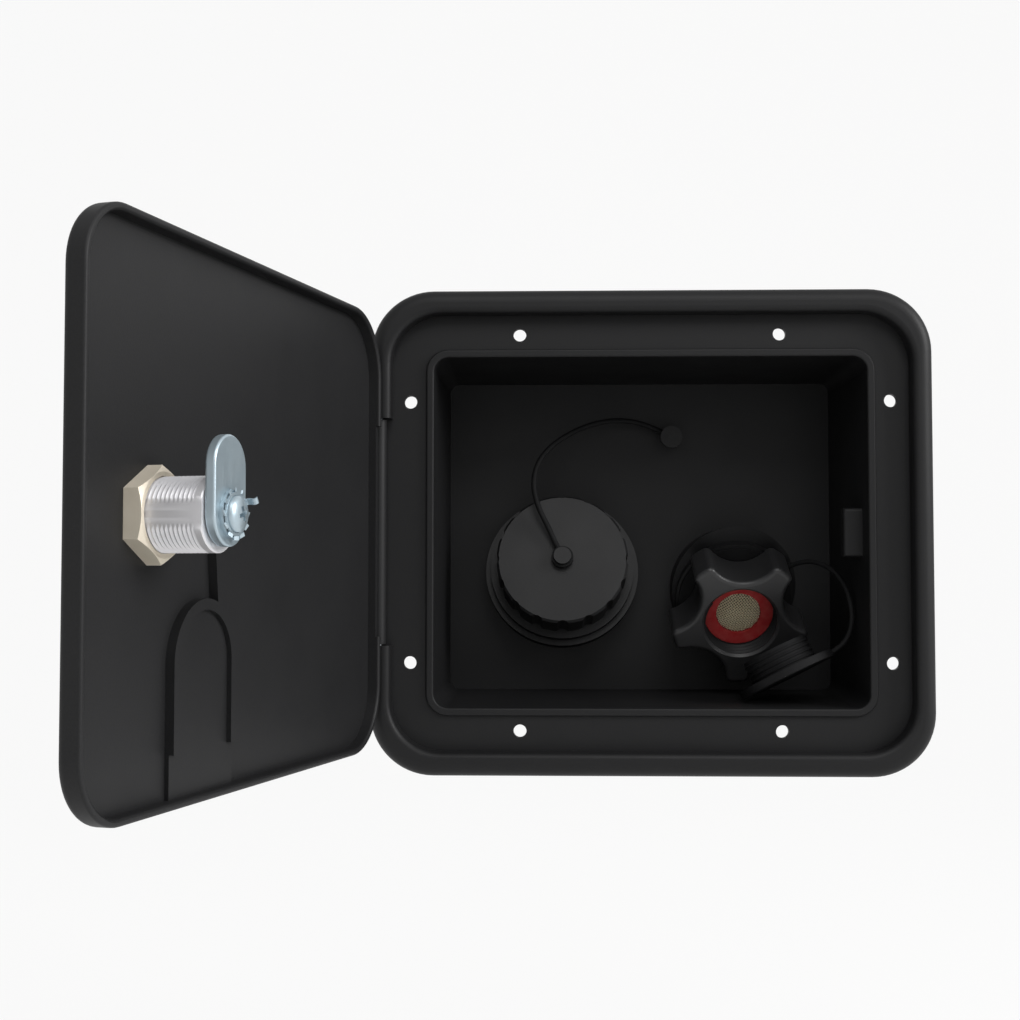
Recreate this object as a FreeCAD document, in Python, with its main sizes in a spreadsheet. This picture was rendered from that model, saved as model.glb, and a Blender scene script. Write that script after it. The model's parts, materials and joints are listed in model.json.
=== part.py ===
"""Water inlet hatch for a caravan wall: a moulded flange and box, a hinged door with a cam lock,
a capped gravity fill neck and a swivel inlet for a pressure hose.

X runs to the right, Y into the wall and Z up. The origin is on the back of the flange, at the
middle of the opening. All lengths are in millimetres and all angles in degrees.
"""
import FreeCAD, Part
import math
import os
import re

import Sketcher

Vector = FreeCAD.Vector
ROOT = "Sizes."
TOUCH = 1e-6
ARC_SHARE = 0.45

SIZES = [
    # Flange with its raised border
    ("flange_width", 194.0), ("flange_height", 168.0), ("flange_corner", 22.0),
    ("border_side_width", 7.25), ("border_top_width", 8.25), ("border_height", 9.5), ("border_wall", 2.2),
    ("border_outer_round", 4.5), ("border_inner_round", 2.2), ("recess_corner", 17.5),
    ("land_thickness", 2.5), ("screw_hole_diameter", 4.5), ("top_screw_span", 90.5),
    ("top_screw_shift", 0.625), ("side_screw_rise", 91.0), ("side_screw_shift", 1.0),
    # Box behind the flange
    ("opening_width", 150.5), ("opening_height", 122.0), ("opening_corner", 5.0),
    ("lip_width", 2.8), ("lip_height", 1.5), ("lip_round", 0.7),
    ("box_depth", 58.0), ("box_wall", 2.5), ("box_draft", 1.5), ("root_overlap", 1.0),
    ("keeper_height", 17.4), ("keeper_reach", 7.0), ("keeper_front", 5.0), ("keeper_depth", 7.0),
    ("keeper_draft", 4.0), ("keeper_round", 1.2),
    # Hinge
    ("hinge_inset", 3.0), ("hinge_lift", 6.0), ("hinge_gap_height", 78.6), ("hinge_end_gap", 0.6),
    ("knuckle_radius", 2.5), ("leaf_thickness", 2.2), ("hinge_pin_radius", 1.2), ("hinge_pin_grip", 9.0),
    ("running_clearance", 0.05), ("open_angle", 105.5), ("hinge_relief_inset", 3.3),
    ("hinge_relief_depth", 1.4),
    # Door
    ("door_hinge_edge", 5.2), ("door_free_gap", 1.8), ("door_side_gap", 2.0), ("door_corner", 17.0),
    ("door_hinge_corner", 22.0), ("door_land_gap", 0.5), ("door_panel", 2.5), ("door_rim_wall", 2.0),
    ("door_edge_round", 2.2), ("door_rim_round", 0.8),
    ("rib_height", 2.6), ("rib_width", 3.0), ("pull_rib_reach", 122.5), ("pull_rib_span", 33.0),
    ("pull_platform_height", 1.2),
    ("pull_rib_top", 21.0), ("pull_rib_foot", 60.3), ("pull_scoop_depth", 2.6), ("pull_scoop_height", 12.0),
    ("spine_reach", 116.5), ("spine_width", 1.8), ("spine_length", 14.0), ("spine_lean", 6.0),
    # Cam lock
    ("lock_reach", 148.5), ("lock_barrel_radius", 9.5), ("lock_flat_width", 17.4),
    ("lock_barrel_length", 20.0),
    ("lock_hole_clearance", 0.2), ("bezel_radius", 11.5), ("bezel_height", 2.2), ("bezel_chamfer", 0.8),
    ("nut_across_flats", 21.6), ("nut_thickness", 5.0), ("nut_clearance", 0.1), ("nut_chamfer_slope", 30.0),
    ("core_radius", 6.4), ("core_recess", 0.3), ("key_slot_width", 1.8), ("key_slot_height", 8.4),
    ("key_slot_depth", 6.0), ("tail_square", 6.4), ("tail_clearance", 0.05),
    ("cam_width", 16.0), ("cam_length", 19.5), ("cam_thickness", 2.8), ("cam_edge_round", 0.6),
    ("cam_gap", 0.3),
    ("cam_washer_radius", 5.75), ("cam_washer_thickness", 1.0), ("cam_screw_head_radius", 4.5),
    ("cam_screw_head_height", 2.6), ("cam_screw_crown", 3.1), ("cam_screw_radius", 2.0),
    ("cam_screw_length", 8.0),
    # Gravity fill neck and its cap
    ("fill_x", -30.2), ("fill_z", -14.6), ("fill_seat_height", 7.5), ("fill_tilt", 15.0),
    ("fill_boss_radius", 27.5), ("fill_flange_radius", 29.0), ("fill_flange_thickness", 4.0),
    ("fill_neck_radius", 21.5), ("fill_neck_height", 16.0), ("fill_bore_radius", 14.0),
    ("fill_root_radius", 16.8), ("fill_root_length", 16.0), ("fill_spigot_radius", 16.0),
    ("fill_spigot_length", 30.0), ("fill_barb_rise", 0.8), ("fill_barb_pitch", 6.0),
    ("fill_barb_ramp", 3.6),
    ("seat_hole_clearance", 0.2), ("seat_trim", 0.2),
    ("cap_radius", 24.4), ("cap_height", 22.0), ("cap_wall", 2.5), ("cap_gap", 0.3), ("cap_edge", 0.8),
    ("cap_skirt_radius", 27.0), ("cap_skirt_height", 3.5), ("cap_tooth_count", 16.0),
    ("cap_flute_radius", 2.6), ("cap_flute_depth", 1.0), ("cap_button_radius", 2.0),
    ("cap_button_height", 3.0), ("cap_button_head", 3.2), ("cap_button_head_height", 1.4),
    ("cap_tether_radius", 1.0), ("tether_eye_radius", 4.0), ("tether_eye_clearance", 0.3),
    ("tether_post_radius", 2.5), ("tether_post_length", 7.5), ("tether_post_head", 4.2),
    ("tether_post_head_height", 1.6), ("tether_post_x", 12.0), ("tether_post_z", 38.0),
    # Pressure inlet with its swivel
    ("inlet_x", 35.0), ("inlet_boss_z", -20.3), ("inlet_seat_height", 12.0), ("inlet_tilt", 27.0),
    ("inlet_offset", 2.0), ("inlet_boss_radius", 23.3), ("inlet_flange_radius", 22.0),
    ("inlet_flange_thickness", 3.0), ("inlet_stem_radius", 11.0), ("inlet_lip_radius", 12.4),
    ("inlet_lip_height", 3.2), ("inlet_bore_radius", 8.0), ("inlet_bore_depth", 20.0),
    ("inlet_root_radius", 11.2), ("inlet_root_length", 21.0), ("inlet_tail_radius", 10.4),
    ("inlet_tail_length", 15.0), ("inlet_tail_bore_radius", 7.5), ("inlet_tail_bore_depth", 11.0),
    ("plug_ring_thickness", 1.6), ("plug_ring_radius", 21.0), ("swivel_gap", 1.4),
    ("swivel_thickness", 17.5), ("swivel_lobe_radius", 25.5), ("swivel_lobe_count", 5.0),
    ("swivel_hollow_radius", 13.0), ("swivel_hollow_reach", 29.5), ("swivel_back_wall", 3.0),
    ("swivel_clearance", 0.3), ("swivel_mouth_radius", 13.4), ("swivel_mouth_chamfer", 0.9),
    ("swivel_lobe_round", 2.5), ("swivel_edge_round", 1.8),
    ("washer_radius", 12.7), ("washer_pocket_gap", 0.2), ("washer_hole_radius", 8.2),
    ("washer_thickness", 3.0), ("screen_rise", 2.6), ("screen_thickness", 0.5),
    ("screen_shoulder", 4.9), ("screen_shoulder_rise", 1.8),
    # Plug for the inlet, on its tether
    ("plug_x", 49.5), ("plug_depth", 14.5), ("plug_z", -50.5), ("plug_lean", 25.8), ("plug_tip", 10.0),
    ("plug_disc_radius", 18.0), ("plug_disc_thickness", 2.5), ("plug_stem_radius", 12.0),
    ("plug_stem_height", 8.5), ("plug_stem_wall", 2.2), ("plug_rib_rise", 0.4), ("plug_rib_pitch", 1.8),
    ("plug_rib_width", 0.9), ("plug_rib_slope", 0.2), ("plug_tether_radius", 0.9),
]

# Route of the cap's tether, from the eye on the button to the post on the back wall
CAP_TETHER_ROUTE = [
    (-31.6, 28.5, -5.8), (-35.2, 28.4, 2.2), (-39.6, 28.8, 10.8), (-41.2, 30.6, 19.4),
    (-39.2, 33.8, 27.6), (-33.6, 37.6, 34.2), (-26.2, 41.4, 39.2), (-17.4, 45.4, 43.0),
    (-8.0, 49.0, 44.6), (2.4, 51.8, 43.2), (11.2, 52.9, 38.9),
]
# Route of the plug's tether, from the ring round the inlet to the edge of the plug's disc
PLUG_TETHER_ROUTE = [
    (51.4, 38.2, -13.7), (57.7, 35.3, -9.5), (66.2, 27.2, -10.9), (71.4, 20.0, -17.4),
    (73.0, 14.0, -27.2), (72.4, 13.0, -34.4), (69.2, 13.8, -40.6), (63.9, 14.5, -43.5),
]

NAMES = {alias for alias, number in SIZES}

doc = FreeCAD.newDocument("water_inlet_hatch")
sheet = doc.addObject("Spreadsheet::Sheet", "Sizes")
for row, (alias, number) in enumerate(SIZES, start=1):
    sheet.set("A%d" % row, alias)
    sheet.set("B%d" % row, str(number))
    sheet.setAlias("B%d" % row, alias)
doc.recompute()


def of_sheet(formula):
    """A formula in plain size names, written as the document's expressions name them."""
    return re.sub("[a-z_]+", lambda word: ROOT + word[0] if word[0] in NAMES else word[0], formula)


def size(formula):
    """The number that a formula in size names gives."""
    return float(sheet.evalExpression(of_sheet(formula)))


# Relations that several pieces share
DOOR_OUTER = "border_height - hinge_lift"
DOOR_RIM = "hinge_lift - land_thickness - door_land_gap"
DOOR_THICKNESS = "border_height - land_thickness - door_land_gap"
HINGE_X = "-1 * ( flange_width / 2 - hinge_inset )"
RECESS_WIDTH = "( flange_width - 2 * border_side_width )"
RECESS_HEIGHT = "( flange_height - 2 * border_top_width )"
TOP_SCREW_RISE = "( ( " + RECESS_HEIGHT + " + opening_height ) / 2 + 2 * top_screw_shift )"
SIDE_SCREW_SPAN = "( ( " + RECESS_WIDTH + " + opening_width ) / 2 + 2 * side_screw_shift )"
DOOR_WIDTH = "flange_width - hinge_inset - border_side_width - door_free_gap - door_hinge_edge"
DOOR_HEIGHT = RECESS_HEIGHT + " - 2 * door_side_gap"
FILL_SEAT = "( box_depth - fill_seat_height )"
INLET_SEAT = "( box_depth - inlet_seat_height )"
PANEL_INNER = "hinge_lift - border_height + door_panel"
BARREL_END = PANEL_INNER + " + lock_barrel_length"
CAM_START = BARREL_END + " + cam_gap"
CAM_END = CAM_START + " + cam_thickness"
KNUCKLE_LENGTH = "hinge_gap_height - 2 * hinge_end_gap"
SWIVEL_START = "inlet_flange_thickness + plug_ring_thickness + swivel_gap"
SWIVEL_FLOOR = SWIVEL_START + " + swivel_back_wall"
SWIVEL_FRONT = SWIVEL_START + " + swivel_thickness"
LIP_START = SWIVEL_FLOOR + " + swivel_clearance"
WASHER_START = LIP_START + " + inlet_lip_height + swivel_clearance"
CAP_START = "fill_flange_thickness + cap_gap"


def new_body(label):
    body = doc.addObject("PartDesign::Body", label)
    body.Label = label
    return body


def new_sketch(body, role, name, lift="0", right="0", up="0"):
    """A sketch on one of the body's own origin planes, lifted along its normal and shifted in it."""
    sketch = body.newObject("Sketcher::SketchObject", body.Label + "_" + name)
    plane = next(feature for feature in body.Origin.OriginFeatures if feature.Role == role)
    sketch.AttachmentSupport = (plane, "")
    sketch.MapMode = "FlatFace"
    for letter, formula in (("x", right), ("y", up), ("z", lift)):
        sketch.setExpression(".AttachmentOffset.Base." + letter, of_sheet(formula))
    return sketch


def tilt_sketch(sketch, axis, formula):
    """Turns a sketch about one of its own axes, away from the plane that it is attached to."""
    offset = sketch.AttachmentOffset
    offset.Rotation = FreeCAD.Rotation(axis, 10)
    sketch.AttachmentOffset = offset
    sketch.setExpression(".AttachmentOffset.Rotation.Angle", of_sheet(formula))


def bind(sketch, constraint, name, formula):
    index = sketch.addConstraint(constraint)
    sketch.renameConstraint(index, name)
    sketch.setExpression("Constraints." + name, of_sheet(formula))


def hold_point(sketch, geometry, end, x, y, name):
    """Holds one point of a sketch at x and y, both given as formulas."""
    for kind, formula, axis in (("DistanceX", x, -2), ("DistanceY", y, -1)):
        number = size(formula)
        if abs(number) < TOUCH:
            sketch.addConstraint(Sketcher.Constraint("PointOnObject", geometry, end, axis))
        elif number > 0:
            bind(sketch, Sketcher.Constraint(kind, -1, 1, geometry, end, number), name + kind, formula)
        else:
            constraint = Sketcher.Constraint(kind, geometry, end, -1, 1, -number)
            bind(sketch, constraint, name + kind, "-1 * ( " + formula + " )")


def draw_circle(sketch, radius, x="0", y="0", name="ring"):
    circle = Part.Circle(Vector(size(x), size(y), 0), Vector(0, 0, 1), size(radius))
    index = sketch.addGeometry(circle)
    bind(sketch, Sketcher.Constraint("Radius", index, size(radius)), name + "Radius", radius)
    hold_point(sketch, index, 3, x, y, name)


def draw_polygon(sketch, corners, name="corner"):
    """A closed outline of straight edges through corners given as pairs of formulas."""
    places = [Vector(size(x), size(y), 0) for x, y in corners]
    first = sketch.GeometryCount
    count = len(corners)
    for number in range(count):
        sketch.addGeometry(Part.LineSegment(places[number], places[(number + 1) % count]))
    for number in range(count):
        following = first + (number + 1) % count
        sketch.addConstraint(Sketcher.Constraint("Coincident", first + number, 2, following, 1))
    for number, (x, y) in enumerate(corners):
        hold_point(sketch, first + number, 1, x, y, "%s%d" % (name, number))


def draw_rectangle(sketch, width, height, name="side"):
    half_width = "( " + width + " ) / 2"
    half_height = "( " + height + " ) / 2"
    less_width = "-1 * ( " + width + " ) / 2"
    less_height = "-1 * ( " + height + " ) / 2"
    corners = [(less_width, less_height), (half_width, less_height),
               (half_width, half_height), (less_width, half_height)]
    draw_polygon(sketch, corners, name)


def draw_rounded_rectangle(sketch, width, height, corner, name="side", left_corner=None):
    """A rectangle about the sketch's origin with rounded corners, those on the left of their own size."""
    half_width = size(width) / 2
    half_height = size(height) / 2
    left_corner = left_corner or corner
    right = size(corner)
    left = size(left_corner)
    low = -half_height
    runs = [((left - half_width, low), (half_width - right, low)),
            ((half_width, low + right), (half_width, half_height - right)),
            ((half_width - right, half_height), (left - half_width, half_height)),
            ((-half_width, half_height - left), (-half_width, low + left))]
    first = sketch.GeometryCount
    for start, end in runs:
        sketch.addGeometry(Part.LineSegment(Vector(*start, 0), Vector(*end, 0)))
    quarter = math.pi / 2
    rounds = [(half_width - right, low + right, right), (half_width - right, half_height - right, right),
              (left - half_width, half_height - left, left), (left - half_width, low + left, left)]
    for number, (x, y, radius) in enumerate(rounds):
        circle = Part.Circle(Vector(x, y, 0), Vector(0, 0, 1), radius)
        sketch.addGeometry(Part.ArcOfCircle(circle, (number - 1) * quarter, number * quarter))
    for number in range(4):
        arc = first + 4 + number
        following = first + (number + 1) % 4
        sketch.addConstraint(Sketcher.Constraint("Tangent", first + number, 2, arc, 1))
        sketch.addConstraint(Sketcher.Constraint("Tangent", arc, 2, following, 1))
    for number in (0, 2):
        sketch.addConstraint(Sketcher.Constraint("Horizontal", first + number))
        sketch.addConstraint(Sketcher.Constraint("Vertical", first + number + 1))
    for number, formula, label in ((4, corner, "RightCorner"), (6, left_corner, "LeftCorner")):
        sketch.addConstraint(Sketcher.Constraint("Equal", first + number, first + number + 1))
        bind(sketch, Sketcher.Constraint("Radius", first + number, size(formula)), name + label, formula)
    half = "( %s ) / 2"
    right_side = Sketcher.Constraint("DistanceX", -1, 1, first + 1, 1, half_width)
    bind(sketch, right_side, name + "Right", half % width)
    left_side = Sketcher.Constraint("DistanceX", first + 3, 1, -1, 1, half_width)
    bind(sketch, left_side, name + "Left", half % width)
    top = Sketcher.Constraint("DistanceY", -1, 1, first + 2, 1, half_height)
    bind(sketch, top, name + "Top", half % height)
    bottom = Sketcher.Constraint("DistanceY", first, 1, -1, 1, half_height)
    bind(sketch, bottom, name + "Bottom", half % height)


def draw_arch(sketch, width, height, name="arch"):
    """A round-topped outline that stands on the sketch's origin."""
    radius = size(width) / 2
    spring = size(height) - radius
    sketch.addGeometry(Part.LineSegment(Vector(-radius, 0, 0), Vector(radius, 0, 0)))
    sketch.addGeometry(Part.LineSegment(Vector(radius, 0, 0), Vector(radius, spring, 0)))
    circle = Part.Circle(Vector(0, spring, 0), Vector(0, 0, 1), radius)
    sketch.addGeometry(Part.ArcOfCircle(circle, 0, math.pi))
    sketch.addGeometry(Part.LineSegment(Vector(-radius, spring, 0), Vector(-radius, 0, 0)))
    sketch.addConstraint(Sketcher.Constraint("Coincident", 0, 2, 1, 1))
    sketch.addConstraint(Sketcher.Constraint("Tangent", 1, 2, 2, 1))
    sketch.addConstraint(Sketcher.Constraint("Tangent", 2, 2, 3, 1))
    sketch.addConstraint(Sketcher.Constraint("Coincident", 3, 2, 0, 1))
    sketch.addConstraint(Sketcher.Constraint("Vertical", 1))
    sketch.addConstraint(Sketcher.Constraint("Vertical", 3))
    hold_point(sketch, 0, 1, "-1 * ( " + width + " ) / 2", "0", name + "Left")
    hold_point(sketch, 0, 2, "( " + width + " ) / 2", "0", name + "Right")
    spring_formula = "( " + height + " ) - ( " + width + " ) / 2"
    constraint = Sketcher.Constraint("DistanceY", -1, 1, 2, 3, spring)
    bind(sketch, constraint, name + "Spring", spring_formula)


def extrude(kind, body, sketch, length, forward=True, both=False, taper=None):
    """Pads or pockets a sketch. Forward follows the sketch's normal, and both goes each way from it."""
    before = body.Shape.Volume if body.Tip else 0.0
    feature = body.newObject("PartDesign::" + kind, sketch.Label + "_" + kind.lower())
    feature.Profile = sketch
    feature.setExpression("Length", of_sheet(length))
    feature.Reversed = forward if kind == "Pocket" else not forward
    if both:
        feature.SideType = "Symmetric"
    if taper:
        feature.setExpression("TaperAngle", of_sheet(taper))
    doc.recompute()
    after = feature.Shape.Volume
    if kind == "Pocket" and not after < before - TOUCH:
        raise ValueError(feature.Label + " cuts nothing")
    return feature


def pad(body, sketch, length, **ways):
    return extrude("Pad", body, sketch, length, **ways)


def pocket(body, sketch, length, **ways):
    return extrude("Pocket", body, sketch, length, **ways)


def revolve(body, sketch, kind="Revolution"):
    """Turns a sketch once round its own vertical axis, to add a Revolution or to cut a Groove."""
    before = body.Shape.Volume if body.Tip else 0.0
    feature = body.newObject("PartDesign::" + kind, sketch.Label + "_turn")
    feature.Profile = sketch
    feature.ReferenceAxis = (sketch, ["V_Axis"])
    feature.Angle = 360
    doc.recompute()
    if kind == "Groove" and not feature.Shape.Volume < before - TOUCH:
        raise ValueError(feature.Label + " cuts nothing")
    return feature


def edge_names(feature, wanted):
    """Names of the edges of a feature whose middle point passes a test."""
    names = []
    for number, edge in enumerate(feature.Shape.Edges, start=1):
        middle = edge.valueAt((edge.FirstParameter + edge.LastParameter) / 2)
        if wanted(edge, middle):
            names.append("Edge%d" % number)
    return names


def dress_edges(kind, amount, body, feature, wanted, formula):
    """Fillets or chamfers the edges of a feature that pass a test."""
    dressed = body.newObject("PartDesign::" + kind, feature.Label + "_" + kind.lower())
    dressed.Base = (feature, edge_names(feature, wanted))
    dressed.setExpression(amount, of_sheet(formula))
    doc.recompute()
    return dressed


def round_edges(body, feature, wanted, radius):
    return dress_edges("Fillet", "Radius", body, feature, wanted, radius)


def bevel_edges(body, feature, wanted, width):
    return dress_edges("Chamfer", "Size", body, feature, wanted, width)


def pattern_round(body, feature, sketch, count):
    """Repeats a feature evenly round the normal axis of its sketch."""
    pattern = body.newObject("PartDesign::PolarPattern", feature.Label + "_ring")
    pattern.Originals = [feature]
    pattern.Axis = (sketch, ["N_Axis"])
    pattern.Angle = 360
    pattern.setExpression("Occurrences", of_sheet(count))
    body.Tip = pattern
    doc.recompute()
    return pattern


def place(piece, base, axis, angle):
    """Sets a piece on its base point, turned about one of the main axes."""
    piece.Placement = FreeCAD.Placement(Vector(), FreeCAD.Rotation(axis, 10))
    for letter, formula in zip("xyz", base):
        piece.setExpression(".Placement.Base." + letter, of_sheet(formula))
    piece.setExpression(".Placement.Rotation.Angle", of_sheet(angle))


def on_door(piece):
    """Hangs a piece, drawn with the hinge axis as its origin and the door shut, at the open angle."""
    place(piece, (HINGE_X, "-1 * hinge_lift", "0"), Vector(0, 0, 1), "-1 * open_angle")


def on_fill_axis(piece):
    place(piece, ("fill_x", FILL_SEAT, "fill_z"), Vector(1, 0, 0), "90 - fill_tilt")


def on_inlet_axis(piece):
    slide = "inlet_offset * sin( inlet_tilt * 1 deg )"
    drop = "inlet_offset * cos( inlet_tilt * 1 deg )"
    base = ("inlet_x", INLET_SEAT + " + " + slide, "inlet_boss_z - " + drop)
    place(piece, base, Vector(1, 0, 0), "90 + inlet_tilt")


def turned_piece(label, corners, plane="XZ_Plane", right="0", tip=None):
    """A body of revolution from an outline of radius and height pairs, its axis tipped where asked."""
    body = new_body(label)
    profile = new_sketch(body, plane, "profile", right=right)
    if tip:
        tilt_sketch(profile, Vector(1, 0, 0), tip)
    draw_polygon(profile, corners)
    revolve(body, profile)
    return body


def add_seat(body, name, x, z, depth, radius, tilt, axis_drop, hole):
    """A round boss on the back wall, cut off by a tilted plane, with a hole square to that plane."""
    start = "-1 * ( box_depth + root_overlap )"
    reach = radius + " + seat_trim"
    slope = "( " + reach + " ) * tan( " + tilt + " * 1 deg )"
    boss = new_sketch(body, "XZ_Plane", name + "_boss", lift=start, right=x, up=z)
    draw_circle(boss, radius)
    front = "box_depth + root_overlap - " + depth + " + abs( " + slope + " )"
    pad(body, boss, front)
    wedge = new_sketch(body, "YZ_Plane", name + "_slope", lift=x, right=depth, up=z)
    far = "-1 * ( abs( " + slope + " ) + root_overlap )"
    corners = [(slope, "-1 * ( " + reach + " )"), ("-1 * ( " + slope + " )", reach),
               (far, reach), (far, "-1 * ( " + reach + " )")]
    if size(slope) < 0:
        corners.reverse()
    draw_polygon(wedge, corners)
    pocket(body, wedge, "2 * ( " + reach + " )", both=True)
    drill = new_sketch(body, "XZ_Plane", name + "_hole", lift="-1 * " + depth, right=x, up=z)
    tilt_sketch(drill, Vector(1, 0, 0), tilt)
    draw_circle(drill, hole, y="-1 * ( " + axis_drop + " )")
    pocket(body, drill, "2 * box_depth", both=True)


def make_housing():
    """Flange, raised border, box, lock keeper and the two tilted seats, all one moulding."""
    body = new_body("housing")
    flange = new_sketch(body, "XZ_Plane", "flange")
    draw_rounded_rectangle(flange, "flange_width", "flange_height", "flange_corner")
    pad(body, flange, "border_height")
    recess = new_sketch(body, "XZ_Plane", "recess", lift="border_height")
    draw_rounded_rectangle(recess, RECESS_WIDTH, RECESS_HEIGHT, "recess_corner")
    border = pocket(body, recess, "border_height - land_thickness", forward=False)
    round_border(body, border)
    hollow_border(body)
    cut_hinge_gap(body)

    box = new_sketch(body, "XZ_Plane", "box")
    draw_rounded_rectangle(box, "opening_width + 2 * box_wall", "opening_height + 2 * box_wall",
                           "opening_corner + box_wall")
    pad(body, box, "box_depth + box_wall", forward=False, taper="-1 * box_draft")
    lip = new_sketch(body, "XZ_Plane", "lip", lift="land_thickness")
    draw_rounded_rectangle(lip, "opening_width + 2 * lip_width", "opening_height + 2 * lip_width",
                           "opening_corner + lip_width")
    pad(body, lip, "lip_height")
    cavity = new_sketch(body, "XZ_Plane", "cavity", lift="land_thickness + lip_height")
    draw_rounded_rectangle(cavity, "opening_width", "opening_height", "opening_corner")
    opened = pocket(body, cavity, "land_thickness + lip_height + box_depth", forward=False,
                    taper="-1 * box_draft")
    crest = -size("land_thickness + lip_height")
    round_edges(body, opened, lambda edge, point: abs(point.y - crest) < TOUCH, "lip_round")
    add_keeper(body)

    add_seat(body, "fill", "fill_x", "fill_z", FILL_SEAT, "fill_boss_radius", "-1 * fill_tilt",
             "0", "fill_root_radius + seat_hole_clearance")
    add_seat(body, "inlet", "inlet_x", "inlet_boss_z", INLET_SEAT, "inlet_boss_radius", "inlet_tilt",
             "inlet_offset", "inlet_root_radius + seat_hole_clearance")

    holes = new_sketch(body, "XZ_Plane", "screw_holes")
    for number, (span, rise) in enumerate((("top_screw_span", TOP_SCREW_RISE),
                                           (SIDE_SCREW_SPAN, "side_screw_rise"))):
        for across in ("", "-1 * "):
            for along in ("", "-1 * "):
                name = "hole%d%s%s" % (number, "L" if across else "R", "B" if along else "T")
                x = across + span + " / 2"
                z = along + rise + " / 2"
                draw_circle(holes, "screw_hole_diameter / 2", x, z, name)
    pocket(body, holes, "2 * border_height", both=True)
    return body


def add_keeper(body):
    """The block on the right wall that the cam turns behind, with its front edges rounded."""
    middle = "opening_width / 2 - keeper_reach / 2 + root_overlap"
    keeper = new_sketch(body, "XZ_Plane", "keeper", lift="-1 * keeper_front", right=middle)
    draw_rectangle(keeper, "keeper_reach + 2 * root_overlap", "keeper_height")
    block = pad(body, keeper, "keeper_depth", forward=False, taper="-1 * keeper_draft")
    front = size("keeper_front")
    wall_side = size("opening_width / 2 - root_overlap")

    def is_front(edge, point):
        return abs(point.y - front) < TOUCH and 0 < point.x < wall_side

    round_edges(body, block, is_front, "keeper_round")


def round_border(body, border):
    """Rounds the crest of the border, more on its outer side than on its inner side."""
    crest = -size("border_height")
    inner_x = size(RECESS_WIDTH) / 2 + TOUCH
    inner_z = size(RECESS_HEIGHT) / 2 + TOUCH

    def is_outer(edge, middle):
        return abs(middle.y - crest) < TOUCH and (abs(middle.x) > inner_x or abs(middle.z) > inner_z)

    def is_inner(edge, middle):
        return abs(middle.y - crest) < TOUCH and abs(middle.x) < inner_x and abs(middle.z) < inner_z

    outer = round_edges(body, border, is_outer, "border_outer_round")
    round_edges(body, outer, is_inner, "border_inner_round")


def hollow_border(body):
    """The groove behind the border, which keeps the moulding's walls even."""
    channel = new_sketch(body, "XZ_Plane", "channel")
    draw_rounded_rectangle(channel, "flange_width - 2 * border_wall", "flange_height - 2 * border_wall",
                           "flange_corner - border_wall", "outer")
    draw_rounded_rectangle(channel, RECESS_WIDTH + " + 2 * border_wall", RECESS_HEIGHT + " + 2 * border_wall",
                           "recess_corner + border_wall", "inner")
    pocket(body, channel, "border_height - border_wall", forward=True)


def cut_hinge_gap(body):
    """The gap in the border for the door's knuckle, with solid ends that hold the hinge pin."""
    middle_x = "-1 * ( flange_width - border_side_width ) / 2"
    web = new_sketch(body, "XZ_Plane", "hinge_web", right=middle_x)
    web_length = "hinge_gap_height + 2 * ( hinge_pin_grip + border_wall )"
    draw_rectangle(web, "border_side_width - border_wall", web_length)
    pad(body, web, "border_height - border_wall")
    gap = new_sketch(body, "XZ_Plane", "hinge_gap", lift="border_height",
                     right=middle_x + " - root_overlap / 2")
    draw_rectangle(gap, "border_side_width + root_overlap", "hinge_gap_height")
    pocket(body, gap, "border_height - land_thickness", forward=False)
    pin_hole = new_sketch(body, "XY_Plane", "pin_hole", right=HINGE_X, up="-1 * hinge_lift")
    draw_circle(pin_hole, "hinge_pin_radius + running_clearance")
    pocket(body, pin_hole, "hinge_gap_height + 2 * hinge_pin_grip", both=True)


def make_hinge_pin():
    pin = doc.addObject("Part::Cylinder", "hinge_pin")
    pin.Label = "hinge_pin"
    pin.setExpression("Radius", of_sheet("hinge_pin_radius"))
    pin.setExpression("Height", of_sheet("hinge_gap_height + 2 * hinge_pin_grip"))
    pin.setExpression(".Placement.Base.x", of_sheet(HINGE_X))
    pin.setExpression(".Placement.Base.y", of_sheet("-1 * hinge_lift"))
    pin.setExpression(".Placement.Base.z", of_sheet("-1 * ( hinge_gap_height / 2 + hinge_pin_grip )"))
    return pin


def make_door():
    """The door: a shallow tray with its knuckle, ribs and finger pull, all one moulding."""
    body = new_body("door_panel")
    middle = "door_hinge_edge + ( " + DOOR_WIDTH + " ) / 2"
    outline = new_sketch(body, "XZ_Plane", "outline", lift=DOOR_OUTER, right=middle)
    draw_rounded_rectangle(outline, DOOR_WIDTH, DOOR_HEIGHT, "door_corner", left_corner="door_hinge_corner")
    slab = pad(body, outline, DOOR_THICKNESS, forward=False)
    face = -size(DOOR_OUTER)
    round_edges(body, slab, lambda edge, point: abs(point.y - face) < TOUCH, "door_edge_round")
    tray = new_sketch(body, "XZ_Plane", "tray", lift="-1 * ( " + DOOR_RIM + " )", right=middle)
    draw_rounded_rectangle(tray, DOOR_WIDTH + " - 2 * door_rim_wall", DOOR_HEIGHT + " - 2 * door_rim_wall",
                           "door_corner - door_rim_wall", left_corner="door_hinge_corner - door_rim_wall")
    hollowed = pocket(body, tray, DOOR_THICKNESS + " - door_panel", forward=True)
    rim = size(DOOR_RIM)
    round_edges(body, hollowed, lambda edge, point: abs(point.y - rim) < TOUCH, "door_rim_round")
    add_knuckle(body)
    add_pull(body)
    lock_hole = new_sketch(body, "XZ_Plane", "lock_hole", lift=DOOR_OUTER, right="lock_reach")
    draw_circle(lock_hole, "lock_barrel_radius + lock_hole_clearance")
    pocket(body, lock_hole, "2 * door_panel", forward=False)
    on_door(body)
    return body


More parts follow.
